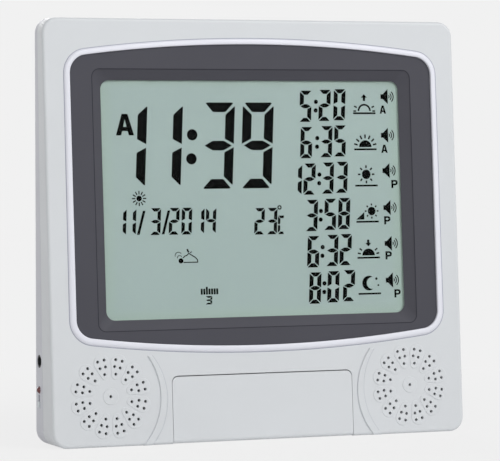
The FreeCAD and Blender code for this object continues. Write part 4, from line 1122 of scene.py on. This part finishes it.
def screwMesh(form, cross, threads, look):  # crown at the origin, shank down -Y
    bm = bmesh.new()
    radius, head, shank, length = form["radius"], form["head"], form["shank"], form["length"]
    steps = look["steps"]

    def ring(reach, up):
        return [bm.verts.new((reach * math.cos(2 * math.pi * i / steps), up,
                              reach * math.sin(2 * math.pi * i / steps))) for i in range(steps)]
    rings = [ring(radius * share, head * up) for share, up in look["head"]]
    rings.append(ring(shank, -head))
    before, spare = look["lead"]
    pitch = (length - head) / (threads + spare)
    for turn in range(threads):
        up = -head - pitch * (turn + before)
        rings += [ring(shank * share, up - pitch * drop) for share, drop in look["thread"]]
    rings.append(ring(shank * look["tip"][0], -length * look["tip"][1]))
    for first, second in zip(rings, rings[1:]):
        addWall(bm, first, second)
    bm.faces.new(rings[-1])
    arm, half = radius * cross, radius * look["arm"]
    plan = [(arm, -half), (arm, half), (half, half), (half, arm), (-half, arm), (-half, half),
            (-arm, half), (-arm, -half), (-half, -half), (-half, -arm), (half, -arm), (half, -half)]
    narrowX, deep, narrowZ = look["floor"]
    rim = [bm.verts.new((x, 0.0, z)) for x, z in plan]
    floor = [bm.verts.new((x * narrowX, -head * deep, z * narrowZ)) for x, z in plan]
    edges = [bm.edges.new(pair) for pair in pairs(rim)] + [bm.edges.get(pair) for pair in pairs(rings[0])]
    bmesh.ops.triangle_fill(bm, use_beauty=True, use_dissolve=False, edges=edges)
    addWall(bm, rim, floor)
    bm.faces.new(floor)
    return meshFrom(bm, "pattern", look["sharp"])


def coatResult(tree, geometry, start, end):  # plain geometry with its finish, as the tree's result
    real = tree.nodes.new("GeometryNodeRealizeInstances")
    coat = tree.nodes.new("GeometryNodeSetMaterial")
    tree.links.new(geometry, real.inputs[0])
    tree.links.new(real.outputs[0], coat.inputs["Geometry"])
    tree.links.new(start.outputs["Finish"], coat.inputs["Material"])
    tree.links.new(coat.outputs[0], end.inputs[0])


def makeScrewTree():
    tree, start, end = newGroup("GeometryNodeTree", "set out screws", [
        ("Geometry", "Geometry"), ("Screw", "Object"), ("Spin", "Float", 3.14), ("Seed", "Int", 5),
        ("Finish", "Material")], [("Geometry", "Geometry")])
    info = tree.nodes.new("GeometryNodeObjectInfo")
    spin = tree.nodes.new("FunctionNodeRandomValue")
    spin.data_type = "FLOAT"
    turn = tree.nodes.new("ShaderNodeCombineXYZ")
    place = tree.nodes.new("GeometryNodeInstanceOnPoints")
    link = tree.links.new
    link(start.outputs["Screw"], info.inputs["Object"])
    link(start.outputs["Spin"], socketOf(spin.inputs, "Max_001"))
    link(start.outputs["Seed"], socketOf(spin.inputs, "Seed"))
    link(socketOf(spin.outputs, "Value_001"), turn.inputs[1])
    link(start.outputs["Geometry"], place.inputs["Points"])
    link(info.outputs["Geometry"], place.inputs["Instance"])
    link(turn.outputs[0], place.inputs["Rotation"])
    coatResult(tree, place.outputs[0], start, end)
    return tree


def runNodes(name, mesh, tree, values):  # the tree's result as a plain mesh
    carrier = addObject(name + "_points", mesh)
    modifier = carrier.modifiers.new("nodes", "NODES")
    modifier.node_group = tree
    for item in tree.interface.items_tree:
        if item.item_type == "SOCKET" and item.in_out == "INPUT" and item.name in values:
            modifier[item.identifier] = values[item.name]
    bpy.context.view_layer.update()
    graph = bpy.context.evaluated_depsgraph_get()
    result = bpy.data.meshes.new_from_object(carrier.evaluated_get(graph))
    carrier.modifiers.clear()
    bpy.data.objects.remove(carrier)
    result.name = name
    return result


screwTree = makeScrewTree()


def makeScrews(nodeName, look):
    own = look["screws"][nodeName]
    back = own["axis"].inverted()
    forms = [screwForm([back @ point for point in group]) for group in looseSolids(nodeName)]
    form = dict(forms[0], length=min(f["length"] for f in forms))
    pattern = addObject("pattern", screwMesh(form, own["cross"], own["threads"], look))
    if form["side"] < 0:
        pattern.data.transform(Matrix.Rotation(math.pi, 4, "X"))
    points = bpy.data.meshes.new("points")
    points.from_pydata([(f["centre"][0], f["crown"], f["centre"][1]) for f in forms], [], [])
    name = nodeName + "_cross"
    mesh = runNodes(name, points, screwTree, {"Screw": pattern, "Spin": look["spin"], "Seed": look["seed"],
                                              "Finish": finishes["zinc_screw"]})
    bpy.data.objects.remove(pattern)
    mesh.transform(own["axis"])
    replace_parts(addPiece(name, mesh, "zinc_screw", "case"), nodeName)


for screwNode in screwLook["screws"]:
    makeScrews(screwNode, screwLook)


springLook = {"turns": 5.0, "wire": 0.00045, "steps": 40, "round": 8}


def makeSpringTree():
    tree, start, end = newGroup("GeometryNodeTree", "wind a spring", [
        ("Geometry", "Geometry"), ("Turns", "Float", 5.0), ("Radius", "Float", 0.004),
        ("Wire", "Float", 0.0004), ("Length", "Float", 0.005), ("Steps", "Int", 40), ("Round", "Int", 8),
        ("Finish", "Material")], [("Geometry", "Geometry")])
    coil = tree.nodes.new("GeometryNodeCurveSpiral")
    wire = tree.nodes.new("GeometryNodeCurvePrimitiveCircle")
    skin = tree.nodes.new("GeometryNodeCurveToMesh")
    soft = tree.nodes.new("GeometryNodeSetShadeSmooth")
    for label, socket in (("Turns", coil.inputs["Rotations"]), ("Steps", coil.inputs["Resolution"]),
                          ("Radius", coil.inputs["Start Radius"]), ("Radius", coil.inputs["End Radius"]),
                          ("Length", coil.inputs["Height"]), ("Wire", wire.inputs["Radius"]),
                          ("Round", wire.inputs["Resolution"])):
        tree.links.new(start.outputs[label], socket)
    tree.links.new(coil.outputs[0], skin.inputs["Curve"])
    tree.links.new(wire.outputs[0], skin.inputs["Profile Curve"])
    skin.inputs["Fill Caps"].default_value = True
    tree.links.new(skin.outputs[0], soft.inputs["Geometry"])
    coatResult(tree, soft.outputs[0], start, end)
    return tree


def makeSpring(look):
    low, high = (Vector(corner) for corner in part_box("battery_spring"))
    wire = look["wire"]
    mesh = runNodes("wound_spring", bpy.data.meshes.new("start"), makeSpringTree(),
                    {"Turns": look["turns"], "Radius": (high[2] - low[2]) / 2 - wire, "Wire": wire,
                     "Length": high[0] - low[0] - 2 * wire, "Steps": look["steps"], "Round": look["round"],
                     "Finish": finishes["contact_nickel"]})
    mesh.transform(Matrix.Rotation(math.pi / 2, 4, "Y"))
    mesh.transform(Matrix.Translation((low[0] + wire, (low[1] + high[1]) / 2, (low[2] + high[2]) / 2)))
    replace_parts(addPiece("wound_spring", mesh, "contact_nickel", "case"), "battery_spring")


makeSpring(springLook)
print("screws and spring set")


keyLook = {
    "print": 0.03,
    "bell": ((-3.1, -2.0), (3.1, -2.0), (2.3, -0.9), (2.0, 1.4), (0.6, 3.0), (-0.6, 3.0), (-2.0, 1.4),
             (-2.3, -0.9)),
    "bellSize": 0.55,
    "return": ((-2.2, -0.2), (-0.9, 1.3), (-0.9, 0.2), (1.6, 0.2), (1.6, 1.3), (2.2, 1.3), (2.2, -0.6),
               (-0.9, -0.6), (-0.9, -1.7)),
}


def crownOf(name):  # middle and depth of a key's front
    places = facePlaces(name)
    top = min(place[2] for place in places)
    front = [place for place in places if place[2] < top + 0.05]
    return [(min(p[i] for p in front) + max(p[i] for p in front)) / 2 for i in range(2)] + [top]


def keyShapes(name, u, w, look):
    if name == "mode":
        return [barShape(u - 2.2, w + step, u + 2.2, w + step + 0.55) for step in (-1.5, -0.27, 0.95)]
    if name == "set":
        return [[discShape(u, w, 1.7), discShape(u, w, 1.15)], discShape(u, w, 0.5, 12)]
    if name == "alarm":
        return [moved(look["bell"], u, w, look["bellSize"]), discShape(u, w - 1.6, 0.4, 10)]
    if name == "light":
        return [discShape(u, w, 0.85, 16)] + rayShapes(u, w, 1.25, 1.95, 0.32, allRound)
    if name == "city":
        return [[discShape(u, w, 1.8), discShape(u, w, 1.45)], barShape(u - 1.4, w - 0.15, u + 1.4, w + 0.15)]
    if name == "down":
        return [[(u - 1.9, w + 1.2), (u, w - 1.5), (u + 1.9, w + 1.2)]]
    if name == "up":
        return [[(u - 1.9, w - 1.2), (u + 1.9, w - 1.2), (u, w + 1.5)]]
    return [moved(look["return"], u, w)]


def printKeys(look):
    for name in keyNames:
        u, w, top = crownOf(name + "_button")
        mark, shapes = name + "_mark", keyShapes(name, u, w, look)
        mesh = platesMesh(mark, shapes, top - look["print"], top + look["print"])
        addPiece(mark, mesh, "display_ink", name + "_key")


printKeys(keyLook)
print("keys printed")


studioLook = {
    "ground": tone(241, 241, 241),
    "floorSize": 6.0,
    "fade": (0.13, 0.5, 0.9, 1.0),  # from near the clock to far away, the floor's own glow
    "sky": 0.47,
    "aim": (0.0, 0.0, 0.12),
    "lamps": {
        "key_softbox": {"place": (1.6, -2.0, 1.9), "size": 1.6, "power": 45.0},
        "fill_softbox": {"place": (-1.35, -2.15, 0.9), "size": 1.2, "power": 12.0},
        "rear_softbox": {"place": (0.3, 2.7, 0.45), "size": 1.6, "power": 30.0},
    },
}


def addLamp(name, look, aim):
    data = bpy.data.lights.new(name, "AREA")
    data.shape = "SQUARE"
    data.size = look["size"]
    data.energy = look["power"]
    lamp = addObject(name, data)
    lamp.location = look["place"]
    lamp.rotation_euler = (Vector(aim) - Vector(look["place"])).to_track_quat("-Z", "Y").to_euler()


def seenDirectly(tree):
    light = tree.nodes.new("ShaderNodeLightPath")
    seen = addMath(tree, "MAXIMUM", light.outputs["Is Camera Ray"], light.outputs["Is Glossy Ray"])
    return addMath(tree, "MAXIMUM", seen, light.outputs["Is Transmission Ray"])


def addShader(tree, kind, colour):
    shader = tree.nodes.new(kind)
    shader.inputs["Color"].default_value = colour
    return shader


def emptyTree(owner):
    owner.use_nodes = True
    owner.node_tree.nodes.clear()
    return owner.node_tree


def makeWorld(look):
    world = bpy.data.worlds.new("studio_world")
    bpy.context.scene.world = world
    tree = emptyTree(world)
    lit = addShader(tree, "ShaderNodeBackground", (1.0, 1.0, 1.0, 1.0))
    lit.inputs["Strength"].default_value = look["sky"]
    seen = addShader(tree, "ShaderNodeBackground", look["ground"])
    joinShaders(tree, seenDirectly(tree), lit, seen, tree.nodes.new("ShaderNodeOutputWorld"))


def makeFloor(look):
    mesh = bpy.data.meshes.new("studio_floor")
    half = look["floorSize"] / 2
    mesh.from_pydata([(u, w, 0) for u, w in barShape(-half, -half, half, half)], [], [(0, 1, 2, 3)])
    floor = addObject("studio_floor", mesh)
    material = bpy.data.materials.new("studio_floor")
    tree = emptyTree(material)
    matt = addShader(tree, "ShaderNodeBsdfDiffuse", look["ground"])
    glow = addShader(tree, "ShaderNodeEmission", look["ground"])
    x, y = separate(tree, objectPlace(tree))[:2]
    squares = addMath(tree, "ADD", addMath(tree, "POWER", x, 2.0), addMath(tree, "POWER", y, 2.0))
    plain = addRange(tree, addMath(tree, "SQRT", squares), *look["fade"])
    share = addMath(tree, "MULTIPLY", seenDirectly(tree), plain)
    joinShaders(tree, share, matt, glow, tree.nodes.new("ShaderNodeOutputMaterial"))
    mesh.materials.append(material)


makeWorld(studioLook)
makeFloor(studioLook)
for lampName, lampPlan in studioLook["lamps"].items():
    addLamp(lampName, lampPlan, studioLook["aim"])
bpy.context.scene.view_settings.view_transform = "Standard"
print("studio lit")
